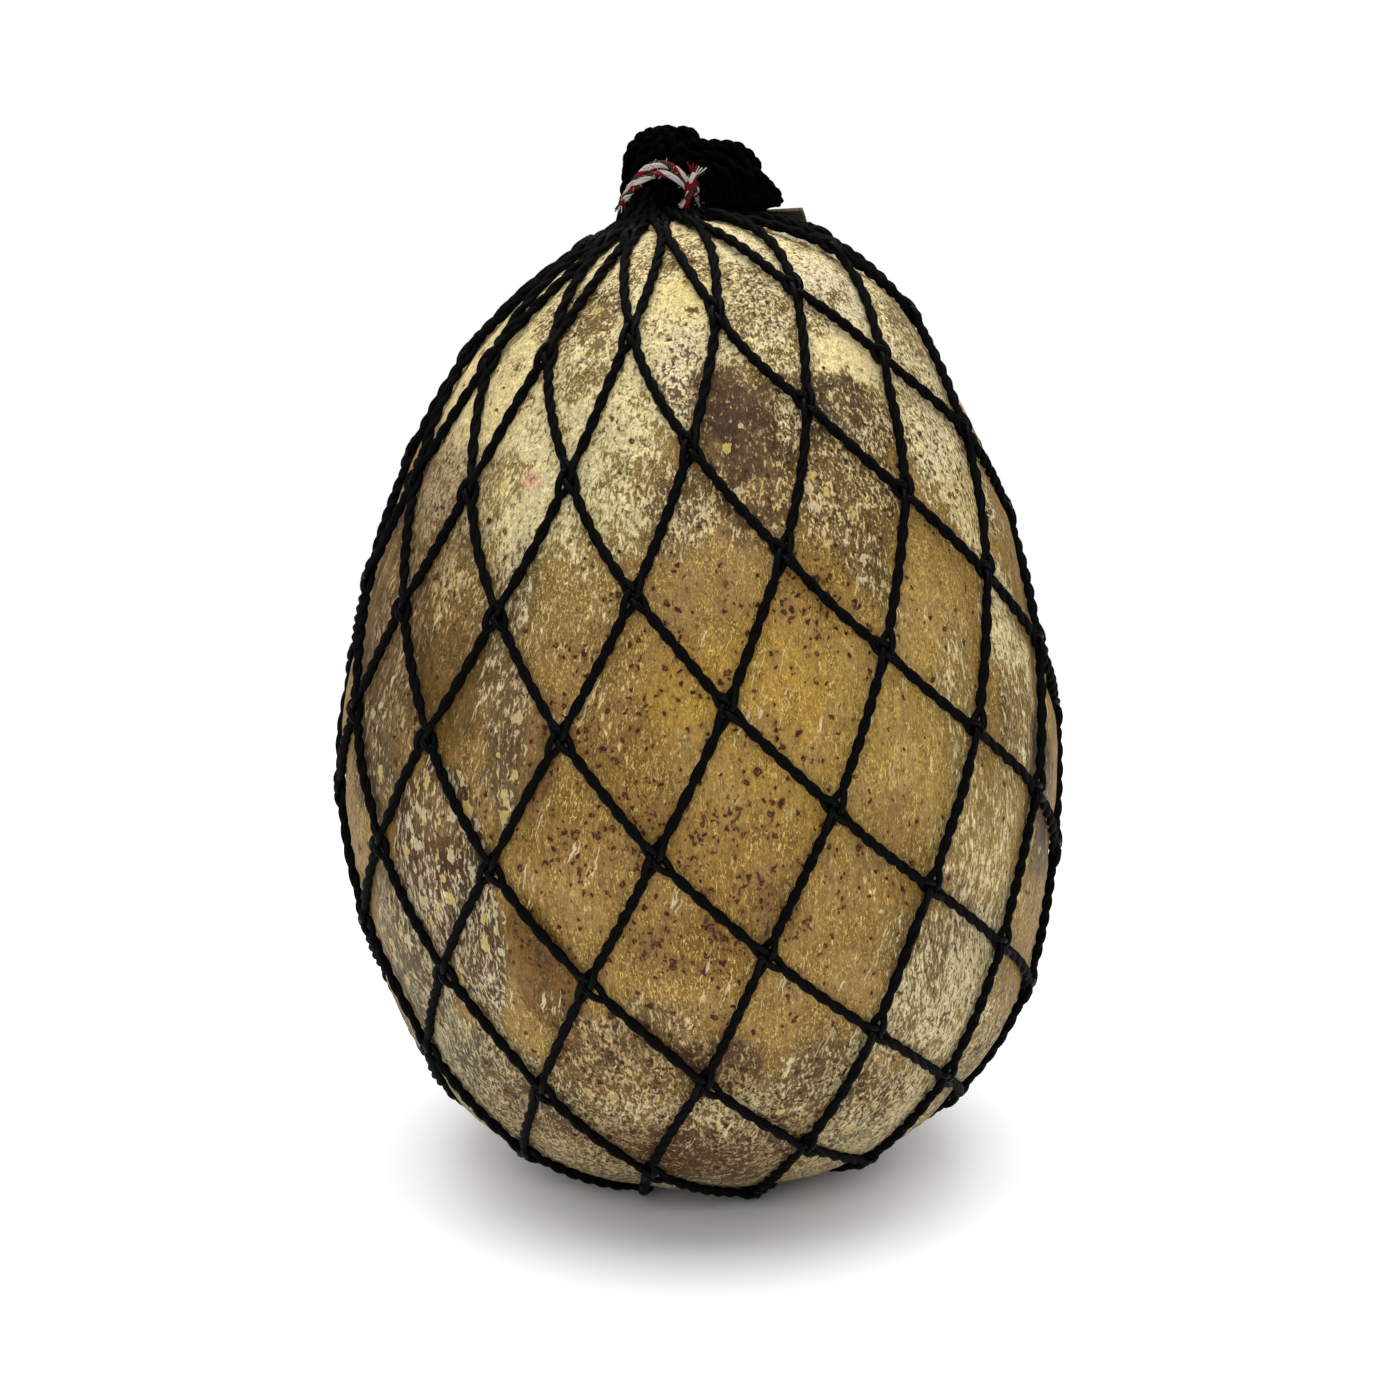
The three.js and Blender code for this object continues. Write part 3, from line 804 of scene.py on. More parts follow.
RIND_PATCHES: tuple[Patch, ...] = (
    # The pale crown, all the way round.
    Patch(0, 196, ALL_ROUND, 44, (142, 114, 64), (232, 220, 178), 0.6, 0.3, 0.05, 0.05, 0.2),
    # The grey-brown lower end, all the way round: the rind's own grey-brown, painted darker as shade where
    # the cheese faces the floor.
    Patch(0, 14, ALL_ROUND, 34, (120, 94, 58), (182, 168, 132), 0.54, 0.72, 0.1, 0.05, 0.2),
    # Upper left: grey-cream bloom with grey specks.
    Patch(-30, 155, 26, 26, (150, 132, 88), (212, 202, 160), 0.66, 0.34, 0.05, edge=1.1, ragged=0.7),
    Patch(-58, 168, 19, 20, (164, 138, 88), (222, 206, 158), 0.72, 0.14),
    # A darker brown patch on the crown's left: partly the rind's own brown and partly painted shade.
    Patch(-38, 181, 10, 7, (126, 103, 60), (220, 206, 160), 0.44, 0.75),
    Patch(-38, 150, 6, 7, (146, 128, 84), (210, 198, 154), 0.4, 0.3),
    Patch(-58, 143, 20, 14, (116, 95, 65), (170, 152, 122), 0.46, 0.55),
    # Crown: stained streaks and paler places, from the middle to the right side.
    Patch(12, 185, 9, 9, (134, 110, 68), (220, 207, 166), 0.5, 0.7),
    Patch(-7, 186, 7, 6, (156, 126, 66), (228, 212, 156), 0.8),
    Patch(-23, 193, 8, 5, None, None, 0.5),
    Patch(43, 187, 8, 8, (150, 126, 84), (226, 216, 186), 0.66),
    Patch(37, 173, 7, 6, (168, 140, 84), (232, 216, 166), 0.88, 0.08),
    Patch(-14, 170, 7, 8, (150, 128, 80), (222, 210, 164), 0.74),
    Patch(74, 176, 12, 14, (136, 112, 76), (208, 194, 156), 0.5, 0.4),
    # Left: brown, with a pale crust streak that runs down.
    Patch(-54, 118, 30, 22, (110, 84, 52), (164, 141, 102), 0.4, 0.58),
    Patch(-60, 96, 9, 13, (108, 84, 54), (190, 174, 138), 0.42, 0.7, 0.0, 0.4),
    Patch(-43, 129, 8, 7, (130, 102, 60), (190, 166, 120), 0.55, 0.6),
    Patch(-40, 112, 10, 14, (122, 92, 47), None, 0.26, 0.35),
    Patch(-29, 105, 5, 18, (110, 86, 56), (188, 172, 138), 0.4, 0.6, 0.0, 0.4),
    Patch(-23, 100, 4, 15, (116, 86, 46), None, 0.1, 0.3, 0.5),
    # Middle: smooth waxy amber with red-brown pits.
    Patch(-21, 128, 15, 10, (150, 121, 72), (206, 190, 148), 0.3, 0.3, 0.3),
    Patch(-31, 131, 5, 10, (130, 110, 74), (194, 184, 152), 0.55, 0.5),
    Patch(-34, 118, 4, 8, (116, 92, 58), (184, 170, 138), 0.4, 0.55),
    Patch(-11, 108, 13, 17, (137, 104, 48), (202, 176, 122), 0.3, 0.42, 0.7),
    Patch(8, 117, 19, 17, (182, 144, 62), None, 0.05, 0.3, 0.45, 0.0, 1.0),
    Patch(10, 97, 15, 12, (174, 137, 64), None, 0.05, 0.3, 0.5, 0.0, 0.9),
    Patch(23, 131, 11, 10, (160, 126, 62), None, 0.07, 0.42, 1.3, 0.0, 0.8),
    Patch(0, 132, 9, 8, (152, 120, 60), None, 0.06, 0.3, 0.5, 0.0, 0.8),
    Patch(-13, 88, 14, 13, (151, 118, 58), (212, 192, 146), 0.14, 0.4, 1.4, 0.0, 0.7),
    Patch(6, 82, 13, 11, (160, 123, 60), None, 0.1, 0.4, 1.3, 0.0, 0.7),
    Patch(11, 75, 6, 6, (128, 96, 48), None, 0.1, 0.5, 1.0, 0.0, 0.6),
    Patch(-1, 67, 13, 9, (144, 108, 50), None, 0.12, 0.5, 1.4, 0.0, 0.7),
    # Right: tan with pale streaks, greyer towards the side.
    Patch(33, 110, 16, 28, (182, 149, 84), (214, 194, 146), 0.2, 0.3, 0.15, 0.0, 0.6),
    Patch(43, 108, 6, 18, (162, 134, 84), None, 0.42, 0.35),
    Patch(60, 115, 9, 24, (150, 124, 80), (218, 204, 162), 0.6, 0.55, 0.0, 0.0, 0.3),
    Patch(57, 107, 7, 8, (146, 116, 68), None, 0.42, 0.5),
    Patch(27, 77, 13, 16, (154, 121, 62), None, 0.2, 0.25, 0.4),
    Patch(47, 82, 14, 15, (166, 138, 86), (216, 200, 156), 0.4, 0.25),
    Patch(66, 86, 8, 18, (92, 75, 50), (184, 170, 136), 0.24, 0.5),
    # Upper right: a dark brown patch, and streaks of brown and cream round it.
    Patch(58, 157, 16, 22, (142, 118, 76), (222, 210, 170), 0.58, 0.7),
    Patch(57, 146, 8, 7, (152, 122, 72), (218, 200, 150), 0.6, 0.7),
    Patch(-3, 170, 7, 9, (142, 120, 82), (228, 216, 180), 0.72, 0.9),
    Patch(26, 161, 16, 10, (98, 78, 52), (210, 194, 150), 0.42, 0.6, 0.0, 0.06),
    Patch(37, 161, 5, 6, (112, 90, 60), None, 0.5, 0.7),
    Patch(31, 165, 7, 6, (86, 68, 46), (200, 184, 142), 0.36, 0.6, 0.0, 0.06),
    Patch(19, 163, 4, 7, (134, 110, 76), (222, 208, 168), 0.7, 0.8),
    Patch(27, 148, 14, 10, (126, 98, 58), (220, 200, 148), 0.48, 0.7, 0.3, 0.1),
    Patch(9, 150, 11, 11, (88, 64, 40), (206, 182, 128), 0.35, 0.55, 0.3, 0.5),
    Patch(27, 142, 6, 17, (124, 96, 58), (204, 186, 140), 0.48, 0.72, 0.1, 0.25, 0.3, 16, 0.6, 0.6),
    Patch(-3, 146, 7, 9, (120, 95, 62), (204, 190, 150), 0.54, 0.55),
    Patch(7, 163, 8, 13, (80, 56, 37), (176, 154, 116), 0.32, 0.35, 0.0, 0.25, 0.4, 8, 0.5, 0.6),
    # Lower left: thick pale crust over brown, with a sharp edge against bare amber.
    Patch(-24, 59, 7.5, 15, (122, 87, 32), None, 0.03, 0.05, 0.7, 0.0, 0.8, 18, 0.3, 0.25),
    Patch(-43, 73, 15, 26, (92, 62, 37), (198, 188, 162), 0.44, 0.55, 0.0, 0.9, 0.1, -8, 0.14, 0.16),
    Patch(-41, 88, 8, 8, (90, 60, 36), (194, 182, 152), 0.3, 0.5, 0.0, 0.8),
    Patch(-36, 62, 7.5, 15, (94, 70, 44), (188, 178, 150), 0.43, 0.72, 0.0, 0.75, 0.1, -6, 0.14, 0.15),
    Patch(-56, 55, 13, 20, (108, 93, 66), (180, 168, 138), 0.42, 0.55, 0.0, 0.25),
    Patch(-46, 37, 17, 12, (112, 96, 68), (176, 166, 134), 0.52, 0.65),
    # Lower end: mottled, with dark patches in the middle and paler to the right.
    Patch(-14, 44, 15, 10, (118, 88, 48), (180, 160, 118), 0.5, 0.76, 0.9),
    Patch(-7, 52, 8, 5, (128, 102, 62), (190, 172, 128), 0.52, 0.6, 0.8),
    Patch(-10, 47, 5, 5, (100, 76, 46), (160, 140, 104), 0.44, 0.75, 1.0),
    Patch(2, 43, 8, 7, (100, 74, 48), (160, 138, 102), 0.44, 0.75, 0.8),
    Patch(-28, 28, 13, 8, (104, 84, 58), (166, 150, 116), 0.52, 0.72),
    Patch(-6, 20, 17, 9, (98, 70, 43), (156, 136, 102), 0.46, 0.72, 0.7),
    Patch(12, 25, 10, 7, (102, 78, 52), (170, 152, 116), 0.5, 0.72, 0.6),
    Patch(20, 39, 11, 10, (106, 85, 56), (180, 166, 130), 0.48, 0.74, 0.7),
    Patch(42, 54, 19, 19, (136, 116, 80), (202, 189, 154), 0.54, 0.55, 0.0, 0.0, 0.2),
    Patch(40, 20, 14, 10, (132, 116, 86), (196, 184, 150), 0.54, 0.6),
    # Small marks: a pink spot, a yellow one, a dark notch painted as shade, a grey dot, and pits beside the
    # crust.
    Patch(-32, 151, 2.2, 1.8, (196, 148, 124), (206, 166, 144), 0.5, 0.0, edge=1.2),
    Patch(-38, 149.5, 1.8, 2.0, (198, 178, 110), (206, 190, 128), 0.5, 0.0, edge=1.2),
    # The dark notch: the shade in a small recess, painted on the unbroken rind.
    Patch(-4, 182.5, 1.4, 0.8, (66, 50, 26), None, 0.0, 0.2, edge=0.4),
    Patch(-26, 176, 1.6, 1.4, (124, 112, 84), None, 0.1, 0.3),
    Patch(-24.5, 62.5, 2.6, 2.4, (114, 80, 30), None, 0.0, 0.0, 1.8),
    # The back, which the photograph doesn't show, carries the same kinds of patches on.
    Patch(-95, 120, 26, 34, (150, 118, 70), (206, 188, 144), 0.28, 0.2, 0.3, 0.0, 0.5),
    Patch(-112, 78, 22, 24, (106, 82, 52), (212, 200, 168), 0.5, 0.5, 0.0, 0.5, 0.1, 12, 0.2, 0.2),
    Patch(-150, 108, 30, 30, (176, 138, 70), None, 0.12, 0.12, 0.55, 0.0, 0.9),
    Patch(-140, 152, 22, 16, (104, 82, 56), (206, 190, 146), 0.36, 0.55, 0.0, 0.25),
    Patch(-165, 60, 22, 16, (156, 122, 66), None, 0.22, 0.2, 0.5, 0.0, 0.6),
    Patch(172, 150, 24, 18, (160, 140, 98), (212, 200, 160), 0.58, 0.45),
    Patch(146, 112, 22, 30, (166, 132, 74), (210, 190, 144), 0.3, 0.2, 0.3, 0.0, 0.6),
    Patch(118, 76, 20, 24, (132, 108, 72), (208, 194, 158), 0.5, 0.45, 0.0, 0.3, 0.2, -10, 0.3, 0.3),
    Patch(104, 134, 22, 24, (150, 122, 76), (210, 194, 152), 0.4, 0.35, 0.1),
)

PLAIN_COLOURS: dict[str, Rgb] = {"ground": (164, 130, 74), "bloom": (208, 190, 146)}
PLAIN_AMOUNTS = {"cover": 0.14, "flecks": 0.25, "pits": 0.2, "flakes": 0.0, "wax": 0.5}


@dataclass
class RindPaint:
    """The rind's colours and marks on each vertex of the cheese, from a plain tan rind on.

    It holds each vertex's place, its azimuth in degrees, its height, the body's radius there and
    the length down the side view from the top.
    """

    places: Array
    azimuth: Array
    height: Array
    radius: Array
    arc: Array
    rag_layers: NoiseLayers = ((0.55, 9.0, 0.0), (0.35, 4.0, 17.0), (0.3, 2.2, 31.0))
    ground_tint: Four = (0.78, 0.74, 0.56, 1.0)
    bloom_tint: Four = (1.02, 0.98, 0.86, 1.0)

    def __post_init__(self) -> None:
        """Starts from the plain rind, and makes the noise that gives patches ragged edges."""
        count = len(self.places)
        self.colours = {name: np.tile(linear(plain), (count, 1)) for name, plain in PLAIN_COLOURS.items()}
        self.amounts = {name: np.full(count, plain) for name, plain in PLAIN_AMOUNTS.items()}
        self.rag = layered_noise(self.places, self.rag_layers)

    def lay(self, patch: Patch) -> None:
        """Lays one patch over what is there.

        Args:
            patch: the patch.
        """
        order = np.argsort(self.height)
        up = np.interp(patch.height, self.height[order], self.arc[order]) - self.arc
        across = np.radians((self.azimuth - patch.azimuth + 180) % 360 - 180) * self.radius
        tilt = math.radians(patch.turn)
        aside = (across * math.cos(tilt) + up * math.sin(tilt)) / patch.half_width
        along = (up * math.cos(tilt) - across * math.sin(tilt)) / patch.half_height
        far = np.hypot(aside, along) + patch.ragged * self.rag
        share = 1 - smoothstep(1 - patch.edge / 2, 1 + patch.edge / 2, far)
        for name, values in self.colours.items():
            colour = getattr(patch, name)
            if colour is not None:
                values += (np.array(linear(colour)) - values) * share[:, None]
        for name, values in self.amounts.items():
            amount = getattr(patch, name)
            if amount is not None:
                values += (amount - values) * share

    def store(self, piece: Piece) -> None:
        """Stores the result on the cheese as attributes.

        Args:
            piece: the cheese.
        """
        set_attribute(piece, "ground", self.colours["ground"] * np.array(self.ground_tint))
        set_attribute(piece, "bloom", self.colours["bloom"] * np.array(self.bloom_tint))
        for name, values in self.amounts.items():
            set_attribute(piece, name, values)


class RindNodes(Graph):
    """The rind's nodes, with what was painted on it and the noises that its layers share."""

    def __init__(self) -> None:
        """Reads the attributes and makes the shared noises."""
        super().__init__("rind")
        self.grain = self.attribute("grain", "Vector")
        self.ground = self.attribute("ground", "Color")
        self.bloom = self.attribute("bloom", "Color")
        self.amount = {name: self.attribute(name) for name in PLAIN_AMOUNTS}
        self.wander = self.way(self.grain, Pattern((1.4, 1.4, 1.9), 91.0))
        self.fine = self.noise(self.grain, Pattern((0.42, 0.42, 0.75), 11.0))
        self.streak = self.noise(self.grain, Pattern((1.1, 1.1, 3.4), 3.0, 2.0))
        self.blot = self.noise(self.grain, Pattern((4.6, 4.6, 6.5), 23.0, 2.0))
        self.wide = self.noise(self.grain, Pattern((17.0, 17.0, 22.0), 5.0))
        self.dry: list[Wire] = []


@dataclass(frozen=True)
class WaxyGround:
    """The waxy ground, lighter, darker and duller by its grain."""

    dull_colour: Rgb = (128, 102, 62)
    dull_share: float = 0.6
    dull_where: Pair = (0.85, 1.3)
    weights: Four = (1.4, 1.1, 0.9, 0.8)
    tone_start: float = 1.6
    tones: Pair = (0.5, 1.52)

    def lay(self, rind: RindNodes, colour: Wire) -> Wire:
        """Tones the painted ground.

        Args:
            rind: the rind's nodes.
            colour: the painted ground.

        Returns:
            The toned ground.
        """
        dull = rind.mix(self.dull_share, colour, linear(self.dull_colour))
        clouded = rind.mix((rind.blot + rind.wide).step(*self.dull_where), colour, dull)
        tone = weighed(self.weights, rind.streak, rind.fine, rind.blot, rind.wide) - self.tone_start
        return rind.shade(clouded, tone.spread(*self.tones))


@dataclass(frozen=True)
class Frost:
    """Fine pale and dark curly lines, thick in some places, thin in others, and none pale on dark ground."""

    pale_colour: Rgb = (222, 192, 110)
    pale_wave: Pattern = Pattern((0.52, 0.52, 2.0), 61.0)
    pale_where: Pair = (0.38, 0.6)
    pale_share: Pair = (0.78, 0.2)
    bright: Pair = (0.1, 0.24)
    dark_wave: Pattern = Pattern((0.7, 0.7, 1.9), 67.0)
    dark_share: Pair = (0.2, 0.9)
    dark_tone: float = 0.36
    wave_middle: float = 0.5
    line: Pair = (0.05, 0.014)
    breaks: Pair = (0.4, 0.55)

    def lay(self, rind: RindNodes, colour: Wire) -> Wire:
        """Draws the dark lines and then the pale ones.

        Args:
            rind: the rind's nodes.
            colour: the ground.

        Returns:
            The frosted ground.
        """
        bright = rind.ground.split()[0].step(*self.bright)
        thick = rind.blot.step(*self.pale_where).spread(*self.pale_share) * bright
        pale = self.curls(rind, self.pale_wave) * thick
        dark = self.curls(rind, self.dark_wave) * rind.blot.spread(*self.dark_share)
        colour = rind.mix(dark, colour, rind.shade(colour, self.dark_tone))
        return rind.mix(pale, colour, linear(self.pale_colour))

    def curls(self, rind: RindNodes, wave: Pattern) -> Wire:
        """Thin broken lines where a noise passes its middle value."""
        away = rind.math("ABSOLUTE", rind.noise(rind.grain, wave) - self.wave_middle)
        return away.step(*self.line) * rind.fine.step(*self.breaks)


@dataclass(frozen=True)
class Bloom:
    """Pale bloom in fine grains and scales that run down the rind, with dark seams round them."""

    scales: Pattern = Pattern((0.5, 0.5, 2.2), 43.0, 2.0)
    wander: float = 0.9
    spot_weights: Pair = (0.8, 0.6)
    spot_middle: float = 0.7
    spot_swing: float = 1.8
    height_weights: Pair = (0.7, 0.4)
    level_middle: float = 0.5
    level_weight: float = 0.5
    where: Pair = (0.49, 0.61)
    share: float = 0.9
    tone_weights: Pair = (0.55, 0.55)
    tone_start: float = 0.05
    tones: Pair = (0.0, 2.0)
    ochre_share: float = 0.6
    ochre_tone: float = 1.15
    thread_weights: Pair = (0.4, 0.6)
    thread_where: Pair = (0.49, 0.41)
    grey_tint: Rgb = (206, 210, 222)
    grey_where: Pair = (0.0, 0.16)
    grey_share: float = 0.6
    seam_colour: Rgb = (50, 29, 15)
    seam_rise: Pair = (0.45, 0.505)
    seam_fall: Pair = (0.55, 0.51)
    seam_cover: Pair = (0.15, 0.45)
    seam_breaks: Pair = (0.42, 0.58)
    seam_share: float = 0.5

    def lay(self, rind: RindNodes, colour: Wire) -> Wire:
        """Lays the bloom and its seams, and notes where it makes the rind dry.

        Args:
            rind: the rind's nodes.
            colour: the colour under the bloom.

        Returns:
            The colour with the bloom over it.
        """
        cover = rind.amount["cover"]
        grains = rind.noise(rind.grain.pushed(rind.wander, self.wander), self.scales)
        spots = weighed(self.spot_weights, rind.blot, rind.wide) - self.spot_middle
        level = cover * (spots * self.spot_swing + 1.0)
        lifted = (level - self.level_middle) * self.level_weight
        height = weighed(self.height_weights, grains, rind.streak) + lifted
        mask = height.step(*self.where)
        rind.dry.append(mask)
        tone = weighed(self.tone_weights, rind.streak, rind.fine) - self.tone_start
        toned = rind.shade(rind.bloom, tone.spread(*self.tones))
        ochre = rind.mix(self.ochre_share, rind.shade(rind.ground, self.ochre_tone), rind.bloom)
        threads = weighed(self.thread_weights, grains, rind.fine)
        toned = rind.mix(threads.step(*self.thread_where), toned, ochre)
        grey = rind.wander.split()[0].step(*self.grey_where) * self.grey_share
        toned = rind.mix(grey, toned, linear(self.grey_tint), "MULTIPLY")
        colour = rind.mix(mask * self.share, colour, toned)
        border = height.step(*self.seam_rise) * height.step(*self.seam_fall)
        seam = border * cover.step(*self.seam_cover) * rind.fine.step(*self.seam_breaks)
        return rind.mix(seam * self.seam_share, colour, linear(self.seam_colour))


@dataclass(frozen=True)
class PitScatter:
    """Pits of about one size: their cells, how often a cell has one, and their least and most radius."""

    cells: Pattern
    often: float
    radius: Pair


@dataclass(frozen=True)
class Pits:
    """Red-brown pits, the smaller the thicker, with ragged edges and some with a paler middle."""

    pit_colour: Rgb = (54, 20, 4)
    stain_colour: Rgb = (118, 74, 24)
    scatters: tuple[PitScatter, ...] = (
        PitScatter(Pattern((1.25, 1.25, 1.4375), 53.0), 0.32, (0.2, 0.42)),
        PitScatter(Pattern((2.1, 2.1, 2.415), 7.0), 0.44, (0.14, 0.3)),
        PitScatter(Pattern((3.6, 3.6, 4.14), 37.0), 0.3, (0.12, 0.22)),
    )
    wander: float = 1.7
    group_where: Pair = (0.42, 0.6)
    group_share: Pair = (0.4, 1.5)
    chance_edge: Pair = (-0.01, 0.01)
    ragged: Pair = (0.4, 1.6)
    rim: Pair = (1.25, 0.85)
    middle: Pair = (0.65, 0.3)
    middle_sizes: Pair = (0.5, 0.7)
    middle_share: float = 0.5
    stain: Pair = (2.4, 0.9)
    stain_share: float = 0.45

    def lay(self, rind: RindNodes, colour: Wire) -> Wire:
        """Sets the pits, each in its stain.

        Args:
            rind: the rind's nodes.
            colour: the colour round the pits.

        Returns:
            The colour with the pits in it.
        """
        pits = rind.amount["pits"] * rind.blot.step(*self.group_where).spread(*self.group_share)
        place = rind.grain.pushed(rind.wander, self.wander)
        for scatter in self.scatters:
            far, (chance, size, _) = rind.cells(place, scatter.cells)
            there = (pits * scatter.often - chance).step(*self.chance_edge)
            part = far / (size.spread(*scatter.radius) * rind.fine.spread(*self.ragged))
            middle = part.step(*self.middle) * size.step(*self.middle_sizes)
            ring = part.step(*self.rim) - middle * self.middle_share
            stain = there * part.step(*self.stain) * self.stain_share
            colour = rind.mix(stain, colour, linear(self.stain_colour))
            colour = rind.mix(there * ring, colour, linear(self.pit_colour))
        return colour


@dataclass(frozen=True)
class Flecks:
    """Short dark flecks, gathered in groups."""

    colour: Rgb = (50, 29, 15)
    pattern: Pattern = Pattern((0.75, 0.75, 1.5), 41.0)
    wander: float = 1.2
    weights: Pair = (0.58, 0.42)
    levels: Pair = (0.69, 0.49)
    edge: Pair = (-0.015, 0.05)
    share: float = 0.85

    def lay(self, rind: RindNodes, colour: Wire) -> Wire:
        """Scatters the flecks.

        Args:
            rind: the rind's nodes.
            colour: the colour under the flecks.

        Returns:
            The colour with the flecks on it.
        """
        short = rind.noise(rind.grain.pushed(rind.wander, self.wander), self.pattern)
        above = weighed(self.weights, short, rind.blot) - rind.amount["flecks"].spread(*self.levels)
        return rind.mix(above.step(*self.edge) * self.share, colour, linear(self.colour))


@dataclass(frozen=True)
class Flakes:
    """Pale and yellowish flakes of crust with crisp edges."""

    yellow: Rgb = (204, 176, 104)
    pale: Rgb = (200, 186, 146)
    pattern: Pattern = Pattern((2.3, 2.3, 3.6), 19.0)
    wander: float = 2.6
    often: float = 0.8
    chance_edge: Pair = (-0.02, 0.02)
    sizes: Pair = (0.0, 0.36)
    ragged: float = 0.36
    rim: Pair = (0.02, -0.03)
    pale_where: Pair = (0.4, 0.6)
    tones: Pair = (0.55, 1.3)
    share: float = 0.82

    def lay(self, rind: RindNodes, colour: Wire) -> Wire:
        """Lays the flakes, and notes where they make the rind dry.

        Args:
            rind: the rind's nodes.
            colour: the colour under the flakes.

        Returns:
            The colour with the flakes on it.
        """
        far, (chance, size, tone) = rind.cells(rind.grain.pushed(rind.wander, self.wander), self.pattern)
        there = (rind.amount["flakes"] * self.often - chance).step(*self.chance_edge)
        edge = size.spread(*self.sizes) + rind.fine * self.ragged
        mask = there * (far - edge).step(*self.rim)
        rind.dry.append(mask)
        plain = rind.mix(tone.step(*self.pale_where), linear(self.yellow), linear(self.pale))
        return rind.mix(mask * self.share, colour, rind.shade(plain, rind.fine.spread(*self.tones)))


@dataclass(frozen=True)
class Scratches:
    """Thin pale slanted scratches that waver a little, in the piece's own UV."""

    colour: Rgb = (214, 196, 150)
    uv_size: Triple = (472.0, 282.0, 1.0)
    slant: float = math.radians(20.0)
    wander: float = 1.3
    cells: Pattern = Pattern((2.4, 13.0, 1.0), 29.0)
    lines: Pattern = Pattern((0.5, 7.0, 1.0), 83.0)
    line_where: Pair = (0.56, 0.62)
    ends: Pair = (0.5, 0.3)
    often: Pair = (0.26, 0.24)
    share: float = 0.8

    def lay(self, rind: RindNodes, colour: Wire) -> Wire:
        """Draws the scratches.

        Args:
            rind: the rind's nodes.
            colour: the colour under the scratches.

        Returns:
            The colour with the scratches on it.
        """
        flat = rind.coordinates("UV").vector("MULTIPLY", self.uv_size)
        turned = rind.node("Mapping", 0, {"Vector": flat, "Rotation": (0.0, 0.0, self.slant)})
        place = turned.pushed(rind.wander, self.wander)
        far, (chance, _, _) = rind.cells(place, self.cells)
        thin = rind.noise(place, self.lines).step(*self.line_where) * far.step(*self.ends)
        return rind.mix(thin * chance.step(*self.often) * self.share, colour, linear(self.colour))


RindLayer = Union[WaxyGround, Frost, Bloom, Pits, Flecks, Flakes, Scratches]


@dataclass(frozen=True)
class RindFinish:
    """The rind: its layers one over the other, waxy where it is bare and dry where it is covered."""

    layers: tuple[RindLayer, ...] = (
        WaxyGround(), Frost(), Bloom(), Pits(), Flecks(), Flakes(), Scratches(),
    )
    wax_swing: Pair = (0.6, 1.3)
    roughness: Pair = (0.72, 0.46)
    dry_roughness: float = 0.2
    gloss: float = 0.2
    bump_weights: Pair = (0.9, 0.5)
    bump_distance: float = 0.0006
    bump_strength: float = 0.9

    def make(self) -> Material:
        """Makes the material.

        Returns:
            The rind material.
        """
        rind = RindNodes()
        colour = rind.ground
        for layer in self.layers:
            colour = layer.lay(rind, colour)
        waxy = rind.amount["wax"] * rind.blot.spread(*self.wax_swing)
        dry = rind.math("MAXIMUM", *rind.dry)
        height = weighed(self.bump_weights, rind.streak, rind.fine)
        rind.set(
            Base_Color=colour,
            Roughness=waxy.spread(*self.roughness) + dry * self.dry_roughness,
            Specular_IOR_Level=self.gloss,
            Normal=rind.bump(height, self.bump_distance, self.bump_strength),
        )
        return rind.material


@dataclass(frozen=True)
class CordFinish:
    """Twisted cord or twine: fine yarn lines that wind round each ply, and shine at knots if wished."""

    name: str
    dark: Rgb
    light: Rgb
    roughness: float
    gloss: float
    yarn_pitch: float = 0.5
    yarn_count: float = 5.0
    knot_roughness: Optional[float] = None
    yarn_tones: Pair = (0.5, 1.0)
    fuzz: Pattern = Pattern((0.6, 0.6, 0.6), 3.0)
    light_share: float = 0.7
    bump_distance: float = 0.00014
    bump_strength: float = 0.8

    def make(self) -> Material:
        """Makes the material.

        Returns:
            The cord material, which reads the tubes' UV strips.
        """
        graph = Graph(self.name)
        winding = {0: graph.coordinates("UV"), 1: (1 / self.yarn_pitch, self.yarn_count, 0.0)}
        turns = graph.node("VectorMath", "Value", winding, operation="DOT_PRODUCT")
        yarn = graph.math("SINE", turns * TURN).spread(*self.yarn_tones)
        share = yarn * graph.noise(graph.solid(), self.fuzz) * self.light_share
        graph.set(
            Base_Color=graph.mix(share, linear(self.dark), linear(self.light)),
            Roughness=self.roughness,
            Specular_IOR_Level=self.gloss,
            Normal=graph.bump(yarn, self.bump_distance, self.bump_strength),
        )
        if self.knot_roughness is not None:
            graph.set(Roughness=graph.attribute("knot").spread(self.roughness, self.knot_roughness))
        return graph.material


@dataclass(frozen=True)
class CardFinish:
    """Dark brown card with fibres, painted darker still as the shade that its face lies in, and worn paler
    along its edges.
    """

    # The face's colour: the card's dark brown, darkened further as painted shade.
    face: Rgb = (40, 33, 25)
    worn: Rgb = (120, 104, 80)
    fibres: Pattern = Pattern((0.5, 2.4, 0.5), 3.0, 4.0)
    clouds: Pattern = Pattern((5.0, 5.0, 5.0), 13.0, 3.0)
    tones: Pair = (0.45, 1.25)
    fibre_wear: float = 0.5
    worn_where: Pair = (1.12, 1.3)
    roughness: Pair = (0.55, 0.8)
    gloss: float = 0.3
    bump_distance: float = 0.00012
    bump_strength: float = 0.6

    def make(self) -> Material:
        """Makes the material.

        Returns:
            The card material, which reads how near the edge a place is.
        """
        graph = Graph("tag_card")
        solid = graph.solid()
        fibre = graph.noise(solid, self.fibres)
        tone = (fibre + graph.noise(solid, self.clouds)).spread(*self.tones)
        rub = (graph.attribute("edge") + fibre * self.fibre_wear).step(*self.worn_where)
        graph.set(
            Base_Color=graph.mix(rub, graph.shade(linear(self.face), tone), linear(self.worn)),
            Roughness=fibre.spread(*self.roughness),
            Specular_IOR_Level=self.gloss,
            Normal=graph.bump(fibre, self.bump_distance, self.bump_strength),
        )
        return graph.material


